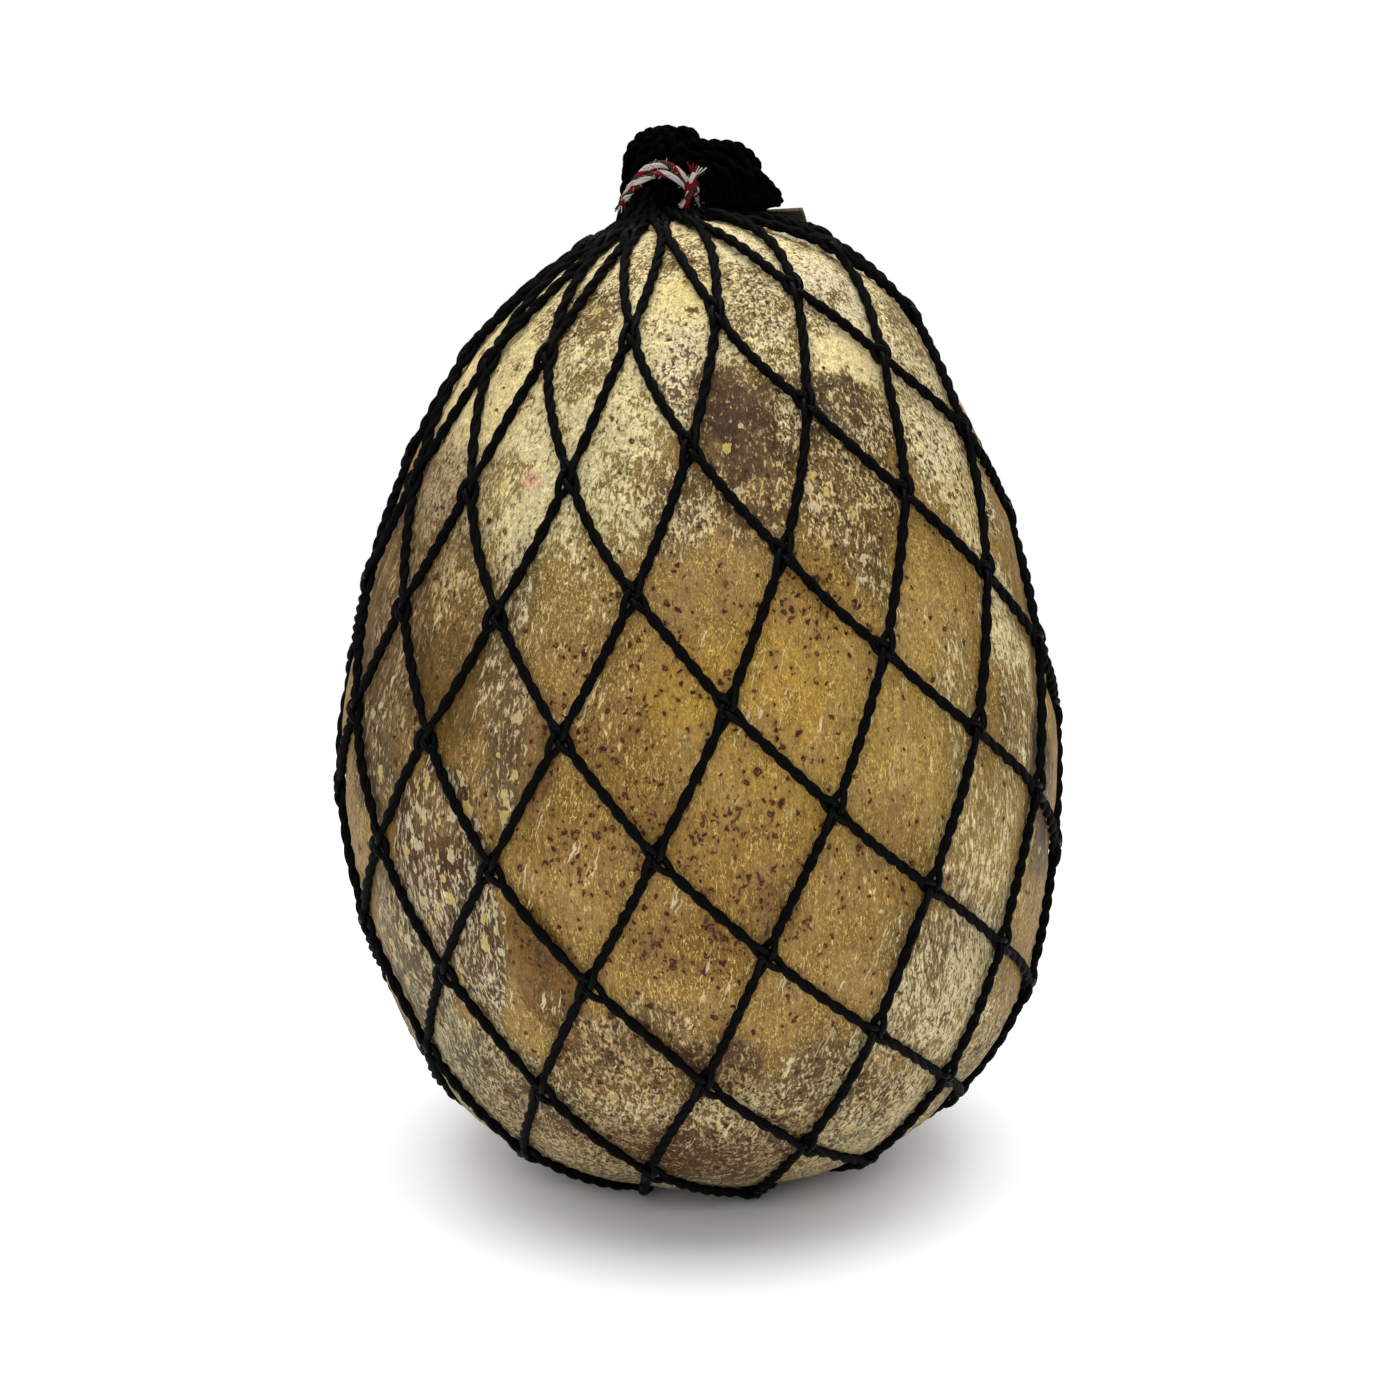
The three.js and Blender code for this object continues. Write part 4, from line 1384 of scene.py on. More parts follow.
@dataclass
class Cheese:
    """The egg-shaped cheese, swelling a little in each mesh of the net."""

    egg: EggForm
    net: NetMap
    segments: int = 440
    rings: int = 225
    profile_steps: int = 900
    cord_steps: int = 24
    swell: float = 0.8
    swell_reach: Pair = (0.5, 7.0)
    dent: float = 0.1
    dent_reach: Pair = (0.0, 1.9)
    waves: NoiseLayers = ((0.38, 34.0, 5.0), (0.2, 13.0, 9.0), (0.12, 3.2, 12.0))
    crust_height: float = 0.35
    crust_level: float = 0.6
    crust_grain: NoiseLayers = ((0.9, 2.6, 21.0),)
    sink: float = 0.05
    shoulder: float = 0.8
    shoulder_heights: Four = (108.0, 150.0, 186.0, 198.0)
    shoulder_sides: Pair = (0.3, 0.7)
    foot_heights: Pair = (0.5, 12.0)
    groove_radius: float = 3.0
    groove_drop: float = 0.9
    pressed_margin: float = 1.2

    def build(self) -> None:
        """Shapes a sphere into the cheese, paints it and hands it over."""
        deselect()
        bpy.ops.mesh.primitive_uv_sphere_add(segments=self.segments, ring_count=self.rings, radius=1.0)
        piece = take_primitive("cheese_body")
        ball = vertex_places(piece)
        profile_radius, profile_height, steps = self.egg.profile(self.profile_steps)
        arc = np.arccos(np.clip(ball[:, 2], -1, 1)) / math.pi * steps[-1]
        radius = np.interp(arc, steps, profile_radius)
        height = np.interp(arc, steps, profile_height)
        turn = np.arctan2(ball[:, 1], ball[:, 0])
        upright = np.stack([radius * np.cos(turn), radius * np.sin(turn), height], axis=1)
        azimuth = np.degrees(np.arctan2(upright[:, 0], -upright[:, 1]))

        paint = RindPaint(self.egg.leaned(upright), azimuth, height, radius, arc)
        for patch in RIND_PATCHES:
            paint.lay(patch)
        places = paint.places + self.egg.normals(upright) * self._relief(paint)[:, None]
        places[:, 2] = np.maximum(places[:, 2], 0.0)
        places[:, 2] = np.maximum(places[:, 2], self._groove_roof(places))
        set_vertex_places(piece, places * MM)
        paint.store(piece)
        set_attribute(piece, "grain", np.stack([*upright[:, :2].T, steps[-1] - arc], axis=1))
        bpy.ops.object.shade_smooth()
        hand_over(piece, "cheese", Slot.RIND, RindFinish().make())

    def _cord_points(self) -> Array:
        """Points along all cords of the net."""
        return np.vstack([self.net.strands(hand, self.cord_steps)[0].reshape(-1, 3) for hand in Hand])

    def _relief(self, paint: RindPaint) -> Array:
        """How far the rind stands out or in: swelling between cords, dents under them, crust.

        Args:
            paint: the painted rind.

        Returns:
            The relief of each vertex.
        """
        places = paint.places
        far = nearest(self._cord_points(), places)[1] - self.net.cord_lift
        swell = self.swell * smoothstep(*self.swell_reach, far)
        dent = self.dent * (1 - smoothstep(*self.dent_reach, far))
        grain = self.crust_level + layered_noise(places, self.crust_grain)
        crust = self.crust_height * paint.amounts["cover"] * grain
        away = np.hypot(places[:, 0], places[:, 1])
        sides = self.shoulder_sides[0] + self.shoulder_sides[1] * (places[:, 0] / np.maximum(away, 1.0)) ** 2
        shoulder = self.shoulder * hump(self.shoulder_heights, paint.height) * sides
        relief = swell - dent + layered_noise(places, self.waves) + crust - self.sink + shoulder
        return relief * smoothstep(*self.foot_heights, paint.height)

    def _groove_roof(self, places: Array) -> Array:
        """The height that the foot keeps over the cords pressed into it.

        Args:
            places: the vertices.

        Returns:
            The least height of each vertex.
        """
        cords = self._cord_points()
        cords = cords[cords[:, 2] < self.net.lowest_cord + self.pressed_margin]
        low = places[:, 2] < self.foot_heights[1]
        index, far = nearest(cords * LEVEL, places[low] * LEVEL)
        arch = np.sqrt(np.maximum(self.groove_radius**2 - far**2, 0.0))
        roof = np.zeros(len(places))
        roof[low] = np.where(arch > 0, cords[index, 2] - self.groove_drop + arch, 0.0)
        return roof


@dataclass
class Net:
    """The net: two-ply cords of two hands that weave through each other at their knots."""

    net: NetMap
    bar_steps: int = 38
    sides: int = 8
    lay: Lay = Lay(0.71, 0.38, 7.3)
    seed: int = 20
    half_turns: tuple[int, int] = (5, 7)
    slack: float = 0.45
    knot_spread: float = 0.84
    knot_angles: Pair = (math.radians(40), math.radians(140))
    spread_below: Pair = (1.0, 4.6)
    spread_above: Pair = (0.8, 3.4)
    winding_below: Pair = (1.0, 4.6)
    winding_above: Pair = (0.6, 3.4)
    spread_fade: Pair = (0.0, 5.0)
    weave_height: float = 0.68
    weave_lift: float = 0.3
    weave_reach: Pair = (2.4, 5.5)
    neck_radius: Pair = (5.6, 4.0)
    neck_steps: Pairs = ((9.6, 1.5), (6.9, 1.9))
    neck_sideways: Triple = (1.1, 0.7, 0.3)
    neck_rise: float = 3.6
    neck_top: float = 207.5
    neck_pinch: float = 0.85
    closing_share: float = 0.62
    closing_least: float = 4.6
    closing_first: Pair = (0.9, 1.7)
    closing_steps: Triples = ((3.4, 0.5, 2.1), (1.0, 0.0, 2.0))
    closing_half_turns: int = 5
    closing_points: int = 110
    closing_radius: Pair = (4.4, -0.25)
    closing_rise: Pair = (2.0, 0.16)
    shine_reach: Pair = (1.4, 3.6)
    finish: CordFinish = CordFinish("net_cord", (1, 1, 1), (8, 8, 9), 0.7, 0.055, knot_roughness=0.24)

    def __post_init__(self) -> None:
        """Lays the middle lines of both hands and finds the gather and the closing place."""
        self.lines = {hand: self.net.strands(hand, self.bar_steps) for hand in Hand}
        self.gather, self.gather_axis = self.net.rind_spot(0.0, 0.0)
        self.closing, self.closing_axis = self.net.rind_spot(math.pi, 0.0)

    def build(self) -> None:
        """Builds one piece for each hand of cords and hands them over."""
        material = self.finish.make()
        for hand, name in ((Hand.RIGHT, "net_cords_right"), (Hand.LEFT, "net_cords_left")):
            tubes = Tubes(self.sides)
            self._add_strands(tubes, hand)
            if hand is Hand.LEFT:
                self._add_closing_knot(tubes)
            piece = tubes.build(name)
            knots = self.lines[hand][0][:, :: self.bar_steps].reshape(-1, 3)
            far = nearest(knots, vertex_places(piece) / MM)[1]
            set_attribute(piece, "knot", 1 - smoothstep(*self.shine_reach, far))
            hand_over(piece, "net", Slot.NET_CORD, material)

    def _add_strands(self, tubes: Tubes, hand: Hand) -> None:
        """Adds every cord of one hand, from the neck of the gather to the closing knot.

        Args:
            tubes: the batch to add to.
            hand: the way the cords wind.
        """
        chance = np.random.default_rng(self.seed + hand.value)
        points, normals, rows = self.lines[hand]
        angles = self._crossing_angles(hand)
        bars = self.net.last_row
        bar = np.minimum(rows.astype(int), bars - 1)
        step = np.round((rows - bar) * self.bar_steps).astype(int)
        share, rate = self._bar_shape()
        offset = self.lay.ply_offset
        spread = offset + (self.knot_spread - offset) * share[step]
        for index in range(self.net.meshes_round):
            turns = chance.integers(self.half_turns[0], self.half_turns[1] + 1, bars)
            start = np.concatenate([[0], np.cumsum(turns)]) * math.pi
            bow = chance.uniform(-1, 1, bars) * self.slack
            phase = start[bar] + turns[bar] * math.pi * rate[step]
            sideways = np.cross(normals[index], unit(np.gradient(points[index], axis=0)))
            path = points[index] + sideways * (bow[bar] * np.sin(math.pi * (rows - bar)))[:, None]
            top, top_out = self._neck_run(hand, index, path[0], normals[index][0])
            end, end_out = self._closing_run(hand, path[-1], normals[index][-1])
            before = phase[0] - self.lay.angle(path_length(top)[-1] - path_length(top))
            after = phase[-1] + self.lay.angle(path_length(end))
            weave = self._weave(hand, rows, start, angles[index])
            above, below = [np.zeros((2, len(run) - 1)) for run in (top, end)]
            opening = self._fade(len(top), spread[0])[::-1]
            closing = self._fade(len(end), spread[-1])
            tubes.twist(
                np.vstack([top[:-1], path, end[1:]]),
                np.vstack([top_out[:-1], normals[index], end_out[1:]]),
                np.concatenate([before[:-1], phase, after[1:]]),
                self.lay,
                np.concatenate([opening, spread, closing]),
                np.concatenate([above, weave, below], axis=1),
            )

    def _fade(self, count: int, first: float) -> Array:
        """The plies' spread over a run past the outermost knot, as it closes up."""
        closing = 1 - smoothstep(*self.spread_fade, np.arange(1, count))
        return self.lay.ply_offset + (first - self.lay.ply_offset) * closing

    def _crossing_angles(self, hand: Hand) -> Array:
        """The angle between the two cords at each knot.

        Args:
            hand: the way the cords wind that the knots are listed along.

        Returns:
            The angles, one row for each cord.
        """
        own, other = [
            unit(np.gradient(self.lines[which][0], axis=1))[:, :: self.bar_steps]
            for which in (hand, Hand(-hand.value))
        ]
        cords, knots = np.meshgrid(np.arange(own.shape[0]), np.arange(own.shape[1]), indexing="ij")
        partner = other[(cords + hand.value * knots) % self.net.meshes_round, knots]
        return np.clip(np.arccos(np.sum(own * partner, axis=2)), *self.knot_angles)

    def _bar_shape(self) -> tuple[Array, Array]:
        """How the plies lie along a bar.

        Returns:
            How far they are spread, from 0 to 1, and the share of their turns that is done.
        """
        length = np.linspace(0, self.net.bar_length, self.bar_steps + 1)
        left = self.net.bar_length - length
        below = 1 - smoothstep(*self.spread_below, length)
        above = 1 - smoothstep(*self.spread_above, left)
        speed = smoothstep(*self.winding_below, length) * smoothstep(*self.winding_above, left)
        rate = np.concatenate([[0], np.cumsum((speed[1:] + speed[:-1]) / 2)])
        return np.maximum(below, above), rate / rate[-1]

    def _weave(self, hand: Hand, rows: Array, start: Array, angles: Array) -> Array:
        """The way that each ply goes over and under the other cord's plies at the knots.

        Args:
            hand: the way the cord winds.
            rows: the rows along the cord.
            start: how far the plies have turned at each knot.
            angles: the angle between the two cords at each knot.

        Returns:
            The way out from the rind, one row for each ply.
        """
        knot = np.round(rows).astype(int)
        away = (rows - knot) * self.net.bar_length
        middle = self.knot_spread / np.tan(angles[knot])
        reach = self.knot_spread / np.sin(angles[knot])
        window = 1 - smoothstep(*self.weave_reach, np.abs(away))
        result = []
        for ply_side in (1, -1):
            side = ply_side * np.cos(start[knot])
            swing = math.pi * (away + hand.value * side * middle) / (2 * reach)
            wave = np.sin(np.clip(swing, -math.pi / 2, math.pi / 2))
            result.append(-side * self.weave_height * wave * window + self.weave_lift * window)
        return np.array(result)

    def _neck_run(self, hand: Hand, index: int, knot: Array, out: Array) -> tuple[Array, Array]:
        """The run of a cord from the neck down to its first knot.

        Args:
            hand: the way the cord winds.
            index: which cord it is.
            knot: its first knot.
            out: the way out from the rind there.

        Returns:
            The points, ending at the knot, and the way out at each.
        """
        away = unit((knot - self.gather) * LEVEL)
        sideways = np.cross([0, 0, 1], away) * -hand.value
        outer = self.neck_radius[hand is Hand.LEFT]
        turn = self.net.turn + TURN * index / self.net.meshes_round
        lower, upper = [
            self.net.rind_spot(np.interp(arc, self.net.arcs, self.net.angles), turn, lift)[0]
            for arc, lift in self.neck_steps
        ]
        low_aside, high_aside, neck_aside = self.neck_sideways
        top = self.gather + away * outer * self.neck_pinch
        neck = self.gather + away * outer + sideways * neck_aside + self.gather_axis * self.neck_rise
        knots = [
            np.array([top[0], top[1], self.neck_top]),
            neck,
            upper + sideways * high_aside,
            lower + sideways * low_aside,
            knot,
        ]
        path = smooth_path(np.array(knots), self.net.bar_length / self.bar_steps)
        return path, turning(away, out, len(path))

    def _closing_run(self, hand: Hand, knot: Array, out: Array) -> tuple[Array, Array]:
        """The run of a cord from its last knot to the closing knot underneath.

        Args:
            hand: the way the cord winds.
            knot: its last knot.
            out: the way out from the rind there.

        Returns:
            The points, starting at the knot, and the way out at each.
        """
        axis = self.closing_axis
        gap = knot - self.closing
        away = unit(gap - axis * np.dot(gap, axis))
        sideways = np.cross(axis, away) * hand.value
        first = max(self.closing_share * np.linalg.norm(gap), self.closing_least)
        run = [knot]
        for reach, aside, lift in ((first, *self.closing_first), *self.closing_steps):
            run.append(self.closing + away * reach + sideways * aside + axis * lift)
        path = smooth_path(np.array(run), self.net.bar_length / self.bar_steps)
        path[:, 2] = np.maximum(path[:, 2], self.net.lowest_cord)
        return path, turning(out, axis, len(path))

    def _add_closing_knot(self, tubes: Tubes) -> None:
        """Winds a cord round the strands where the net is closed underneath.

        Args:
            tubes: the batch to add to.
        """
        axis = self.closing_axis
        side = unit(np.cross(axis, RIGHTWARDS))
        half_turns = np.linspace(0, self.closing_half_turns, self.closing_points)[:, None]
        wide = self.closing_radius[0] + self.closing_radius[1] * half_turns
        rise = self.closing_rise[0] + self.closing_rise[1] * half_turns
        ring = side * np.cos(math.pi * half_turns) + np.cross(axis, side) * np.sin(math.pi * half_turns)
        path = self.closing + wide * ring + axis * rise
        path[:, 2] = np.maximum(path[:, 2], self.net.lowest_cord)
        tubes.twist(path, np.broadcast_to(axis, path.shape), self.lay.angle(path_length(path)), self.lay)


@dataclass(frozen=True)
class Lump:
    """A rounded lump of folded net, by its middle, half sizes and droop."""

    middle: Triple
    half: Triple
    droop: float = 0.0


@dataclass
class Tuft:
    """The end of the net above the gather: a bun of folded cords and a tail that hangs over."""

    sides: int = 8
    seed: int = 7
    lay: Lay = Lay(0.66, 0.48, 5.2)
    path_step: float = 0.6
    bun_middle: Pair = (-7.9, -0.6)
    bun_foot: float = 202.8
    bun_height: float = 16.2
    bun_radius: float = 7.3
    bun_cords: int = 18
    bun_side: Pairs = ((0.8, 0.0), (1.03, 0.1), (0.96, 0.4), (0.86, 0.74), (0.42, 0.95), (0.05, 0.98))
    bun_turn: float = 0.12
    bun_drift: float = 0.35
    bun_sway: float = 0.08
    bun_bulge: Pair = (-0.9, 0.45)
    bun_rise: Pair = (-0.08, 0.03)
    cap_loops: int = 8
    cap_middle: float = 210.8
    cap_half: Pair = (7.0, 7.9)
    cap_wide: Pair = (0.8, 1.0)
    cap_tall: Pair = (0.84, 1.06)
    cap_turn: float = 0.2
    cap_aside: float = 2.4
    cap_slope: float = 0.012
    cap_start: float = 0.15
    cap_knots: int = 7
    cap_sway: float = 0.8
    cap_up: float = 0.2
    peak: Triples = (
        (-6.4, -1.6, 216.4), (-4.6, -1.5, 218.3), (-2.8, -1.4, 219.2),
        (-1.6, -1.3, 218.4), (-1.2, -1.2, 216.0),
    )
    peak_loops: int = 4
    peak_shift: Triple = (0.5, 2.0, -0.5)
    peak_out: Triple = (0.0, -1.0, 0.2)
    tail_root: Pair = (-5.0, 204.5)
    tail_edge: Pairs = (
        (-4.5, 218.2), (0.0, 216.4), (4.4, 216.7), (7.6, 215.6),
        (10.9, 212.8), (13.3, 210.1), (15.5, 206.9), (17.4, 204.4),
    )
    tail_lowest: float = 203.6
    tail_layers: int = 9
    tail_round: float = 0.6
    tail_depth: float = 6.4
    tail_depth_share: Pair = (0.6, 0.4)
    tail_sizes: tuple[float, ...] = (1.0, 0.86, 0.7, 0.54)
    tail_size: Pair = (-0.035, 0.02)
    tail_wave: Pair = (-0.075, 0.055)
    tail_sway: float = 0.6
    tail_up: float = 0.3
    lumps: tuple[Lump, ...] = (
        Lump((-7.9, -0.6, 210.2), (6.7, 6.7, 7.6)),
        Lump((-8.4, -0.4, 204.6), (5.4, 5.4, 3.4)),
        Lump((2.6, -0.6, 209.6), (10.0, 5.6, 6.2), 0.12),
        Lump((8.6, -0.7, 207.4), (7.0, 5.2, 5.0), 0.5),
        Lump((4.0, -0.6, 205.2), (10.0, 5.2, 2.4)),
        Lump((13.0, -0.8, 205.0), (4.0, 3.8, 1.7)),
    )
    lump_segments: int = 32
    lump_rings: int = 16
    core_voxel: float = 0.5
    core_middle: Triple = (0.0, -0.6, 208.0)
    core_grain: NoiseLayers = ((0.45, 2.2, 3.0),)
    core_finish: CordFinish = CordFinish("tuft_core_cord", (1, 1, 1), (4, 4, 4), 0.85, 0.02)
    cord_finish: CordFinish = CordFinish("tuft_cord", (1, 1, 1), (4, 4, 5), 0.85, 0.02)

    def __post_init__(self) -> None:
        """Starts the batch of cords and the seeded chance that lays them."""
        self.tubes = Tubes(self.sides)
        self.chance = np.random.default_rng(self.seed)

    def build(self) -> None:
        """Builds the core and the cords that lie over it, and hands both over."""
        hand_over(self._core(), "net_tuft", Slot.NET_CORD, self.core_finish.make())
        self._add_bun()
        self._add_cap()
        self._add_peak()
        self._add_tail()
        hand_over(self.tubes.build("net_tuft_cords"), "net_tuft", Slot.NET_CORD, self.cord_finish.make())

    def _core(self) -> Piece:
        """Makes the dark inside of the tuft: overlapping lumps, fused by a remesh.

        Returns:
            The core.
        """
        deselect()
        parts = []
        for lump in self.lumps:
            bpy.ops.mesh.primitive_uv_sphere_add(
                segments=self.lump_segments, ring_count=self.lump_rings, radius=1.0
            )
            part = bpy.context.object
            part.scale = [size * MM for size in lump.half]
            part.rotation_euler = (0.0, lump.droop, 0.0)
            part.location = [place * MM for place in lump.middle]
            parts.append(part)
        for part in parts:
            part.select_set(True)
        bpy.context.view_layer.objects.active = parts[0]
        bpy.ops.object.transform_apply(location=True, rotation=True, scale=True)
        bpy.ops.object.join()
        core = take_primitive("net_tuft_core")
        remesh = core.modifiers.new("fuse", "REMESH")
        remesh.mode = "VOXEL"
        remesh.voxel_size = self.core_voxel * MM
        bpy.ops.object.modifier_apply(modifier=remesh.name)
        places = vertex_places(core) / MM
        out = unit(places - np.array(self.core_middle))
        set_vertex_places(core, (places + out * layered_noise(places, self.core_grain)[:, None]) * MM)
        bpy.ops.object.shade_smooth()
        return core

    def _either_way(self, amount: float) -> float:
        """A random value of up to an amount either way."""
        return self.chance.uniform(-amount, amount)

    def _lay_cord(self, knots: Union[Array, list], out: Sequence[float]) -> None:
        """Lays one two-ply cord along knots.

        Args:
            knots: the points that it passes through.
            out: the way out from the tuft at its start.
        """
        start = self.chance.uniform(0, math.pi)
        path = smooth_path(np.array(knots), self.path_step)
        angle = start + self.lay.angle(path_length(path))
        self.tubes.twist(path, carried_normals(path, out), angle, self.lay)

    def _add_bun(self) -> None:
        """Cords that come up from the neck, bulge and fold over at the top of the bun."""
        x, y = self.bun_middle
        for index in range(self.bun_cords):
            turn = TURN * index / self.bun_cords + self._either_way(self.bun_turn)
            drift = self._either_way(self.bun_drift)
            knots = []
            for out, up in self.bun_side:
                around = turn + drift * up + self._either_way(self.bun_sway)
                reach = out * self.bun_radius + self.chance.uniform(*self.bun_bulge)
                rise = self.bun_foot + up * self.bun_height * (1 + self.chance.uniform(*self.bun_rise))
                knots.append([x + reach * math.cos(around), y + reach * math.sin(around), rise])
            self._lay_cord(knots, (math.cos(turn), math.sin(turn), 0.0))

    def _add_cap(self) -> None:
        """Loops that lie over the top of the bun every which way."""
        x, y = self.bun_middle
        for index in range(self.cap_loops):
            turn = math.pi * index / self.cap_loops + self._either_way(self.cap_turn)
            ahead, across = math.cos(turn), math.sin(turn)
            wide = self.cap_half[0] * self.chance.uniform(*self.cap_wide)
            tall = self.cap_half[1] * self.chance.uniform(*self.cap_tall)
            aside = self._either_way(self.cap_aside)
            knots = []
            for swing in np.linspace(self.cap_start, math.pi - self.cap_start, self.cap_knots):
                reach = wide * math.cos(swing) + self._either_way(self.cap_sway)
                rise = self.cap_middle + tall * math.sin(swing) * (1 - self.cap_slope * aside * aside)
                knots.append([x + reach * ahead - aside * across, y + reach * across + aside * ahead, rise])
            self._lay_cord(knots, (ahead, across, self.cap_up))

    def _add_peak(self) -> None:
        """A few short loops that stick up on the right of the bun's top."""
        for shift in np.linspace(-1.0, 1.0, self.peak_loops):
            away = np.array([shift, shift, abs(shift)]) * np.array(self.peak_shift)
            self._lay_cord(np.array(self.peak) + away, self.peak_out)

    def _add_tail(self) -> None:
        """Cords that run from the bun over to the right and hang down there, in layers."""
        root = np.array(self.tail_root)
        edge = np.array(self.tail_edge)
        for depth in np.linspace(-1.0, 1.0, self.tail_layers):
            full = math.sqrt(1 - self.tail_round * depth * depth)
            for ring in self.tail_sizes:
                size = full * ring * (1 + self.chance.uniform(*self.tail_size))
                share = self.tail_depth_share[0] + self.tail_depth_share[1] * ring
                y = self.bun_middle[1] + self.tail_depth * depth * share
                wave = size * (1 + self.chance.uniform(*self.tail_wave, len(edge)))
                x, z = (root + (edge - root) * wave[:, None]).T
                sway = self.chance.uniform(-self.tail_sway, self.tail_sway, len(edge))
                knots = np.stack([x, y + sway, np.maximum(z, self.tail_lowest)], axis=1)
                self._lay_cord(knots, (0.0, -1.0 if depth < 0 else 1.0, self.tail_up))


@dataclass
class Twine:
    """The striped twine: two turns round the bun that arch over its front, a knot and frayed ends."""

    sides: int = 7
    lay: Lay = Lay(0.33, 0.46, 7.0, (0, 0, 1, 1, 2))
    path_step: float = 0.45
    wobble: float = 0.6
    wobble_rates: Pair = (0.9, 0.37)
    wobble_shift: float = 2.0
    middle: Pair = (-7.9, -0.6)
    radius: float = 8.4
    height: float = 203.4
    front_rise: float = 6.6
    back_rise: float = 2.4
    pitch: float = 1.9
    ring_knots: int = 40
    ring_start: float = 1.3
    end_start: float = 0.4
    knot_angle: float = 0.8
    knot_shift: Triple = (0.3, -0.7, 0.0)
    knot_loops: Pairs = ((0.7, 1.15), (-0.6, 1.0))
    knot_turns: float = 1.05
    knot_points: int = 14
    knot_up: Triple = (0.0, -0.75, 0.65)
    left_angle: float = -1.1
    upper_end: Triples = ((0.0, 0.0, 0.0), (0.1, -1.0, 1.5), (0.8, -1.2, 3.0))
    lower_end: Triples = ((0.0, 0.0, 0.0), (-0.4, -1.1, -1.1), (-1.1, -1.3, -2.3))
    left_end: Triples = ((0.5, -0.2, 1.2), (-0.3, -0.5, 0.0), (-0.5, -0.6, -1.0))
    end_fans: Triple = (0.75, 0.3, 0.4)
    thread_radius: float = 0.13
    thread_step: float = 0.4
    thread_tints: tuple[int, ...] = (1, 1, 0, 0, 2)
    thread_count: int = 11
    thread_lengths: Pair = (1.6, 2.7)
    thread_front: Triple = (0.0, -1.0, 0.2)
    thread_lean: float = 0.12
    thread_stray: float = 0.25
    thread_root: Triple = (-0.5, 0.55, 0.4)
    thread_curl: float = 0.3
    thread_tint_span: float = 4.99
    thread_seed_scale: float = 10.0
    fuzz_seed: int = 5
    fuzz_count: int = 120
    fuzz_angle: float = 1.3
    fuzz_tints: tuple[int, ...] = (0, 0, 1)
    hair_radius: float = 0.05
    hair_step: float = 0.25
    hair_forward: float = 0.5
    hair_depth: float = 0.3
    hair_shape: Pairs = ((0.5, 0.0), (0.9, 0.3), (1.0, 0.8))
    finishes: tuple[CordFinish, ...] = (
        CordFinish("twine_white", (186, 176, 168), (226, 218, 210), 0.8, 0.2, 0.7, 3.0),
        CordFinish("twine_red", (96, 2, 8), (142, 10, 20), 0.8, 0.2, 0.7, 3.0),
        CordFinish("twine_green", (22, 30, 25), (56, 66, 58), 0.8, 0.2, 0.7, 3.0),
    )

    def __post_init__(self) -> None:
        """Starts the batch of plies, threads and hairs."""
        self.tubes = Tubes(self.sides)

    def build(self) -> None:
        """Builds the twine and hands it over."""
        for turn in (0, 1):
            angles = self.knot_angle + np.linspace(0, TURN, self.ring_knots)
            self._lay(np.array([self._ring(angle, turn) for angle in angles]), self.ring_start * turn)
        knot = self._ring(self.knot_angle, 0.5) + np.array(self.knot_shift)
        self._add_knot(knot)
        left = self._ring(self.left_angle, 0)
        ends = ((knot, self.upper_end), (knot, self.lower_end), (left, self.left_end))
        for (root, steps), fan in zip(ends, self.end_fans):
            self._lay(root + np.array(steps), self.end_start)
            self._fray(root + np.array(steps), fan)
        self._add_fuzz()
        piece = self.tubes.build("tie_twine_plies")
        hand_over(piece, "tie_twine", Slot.TWINE, *[finish.make() for finish in self.finishes])

    def _ring(self, angle: float, turn: float) -> Array:
        """A point of the twine's turns.

        Args:
            angle: round the bun in radians, from the front.
            turn: 0 for the lower turn and 1 for the upper one.

        Returns:
            The point.
        """
        front = math.cos(angle)
        rise = self.front_rise if front > 0 else self.back_rise
        x = self.middle[0] + self.radius * math.sin(angle)
        y = self.middle[1] - self.radius * front
        return np.array([x, y, self.height + (rise + self.pitch * turn) * front * front])

    def _lay(self, knots: Array, start: float) -> None:
        """Lays five-ply twine along knots: two white plies, two red ones and a green one.

        Args:
            knots: the points that it passes through.
            start: how far its plies have turned at the start.
        """
        path = smooth_path(knots, self.path_step)
        length = path_length(path)
        quick, slow = [rate * length for rate in self.wobble_rates]
        uneven = self.wobble * (np.sin(quick + start) + np.sin(slow + self.wobble_shift))
        angle = start + self.lay.angle(length) + uneven
        self.tubes.twist(path, carried_normals(path, (0.0, 0.0, 1.0)), angle, self.lay)

    def _add_knot(self, knot: Array) -> None:
        """Lays two crossed loops that make the knot's lump.

        Args:
            knot: the knot's middle.
        """
        turn = np.linspace(0, self.knot_turns * TURN, self.knot_points)[:, None]
        for lean, size in self.knot_loops:
            side = np.array([math.cos(lean), 0.0, math.sin(lean)])
            self._lay(knot + size * (np.cos(turn) * side + np.sin(turn) * np.array(self.knot_up)), lean)

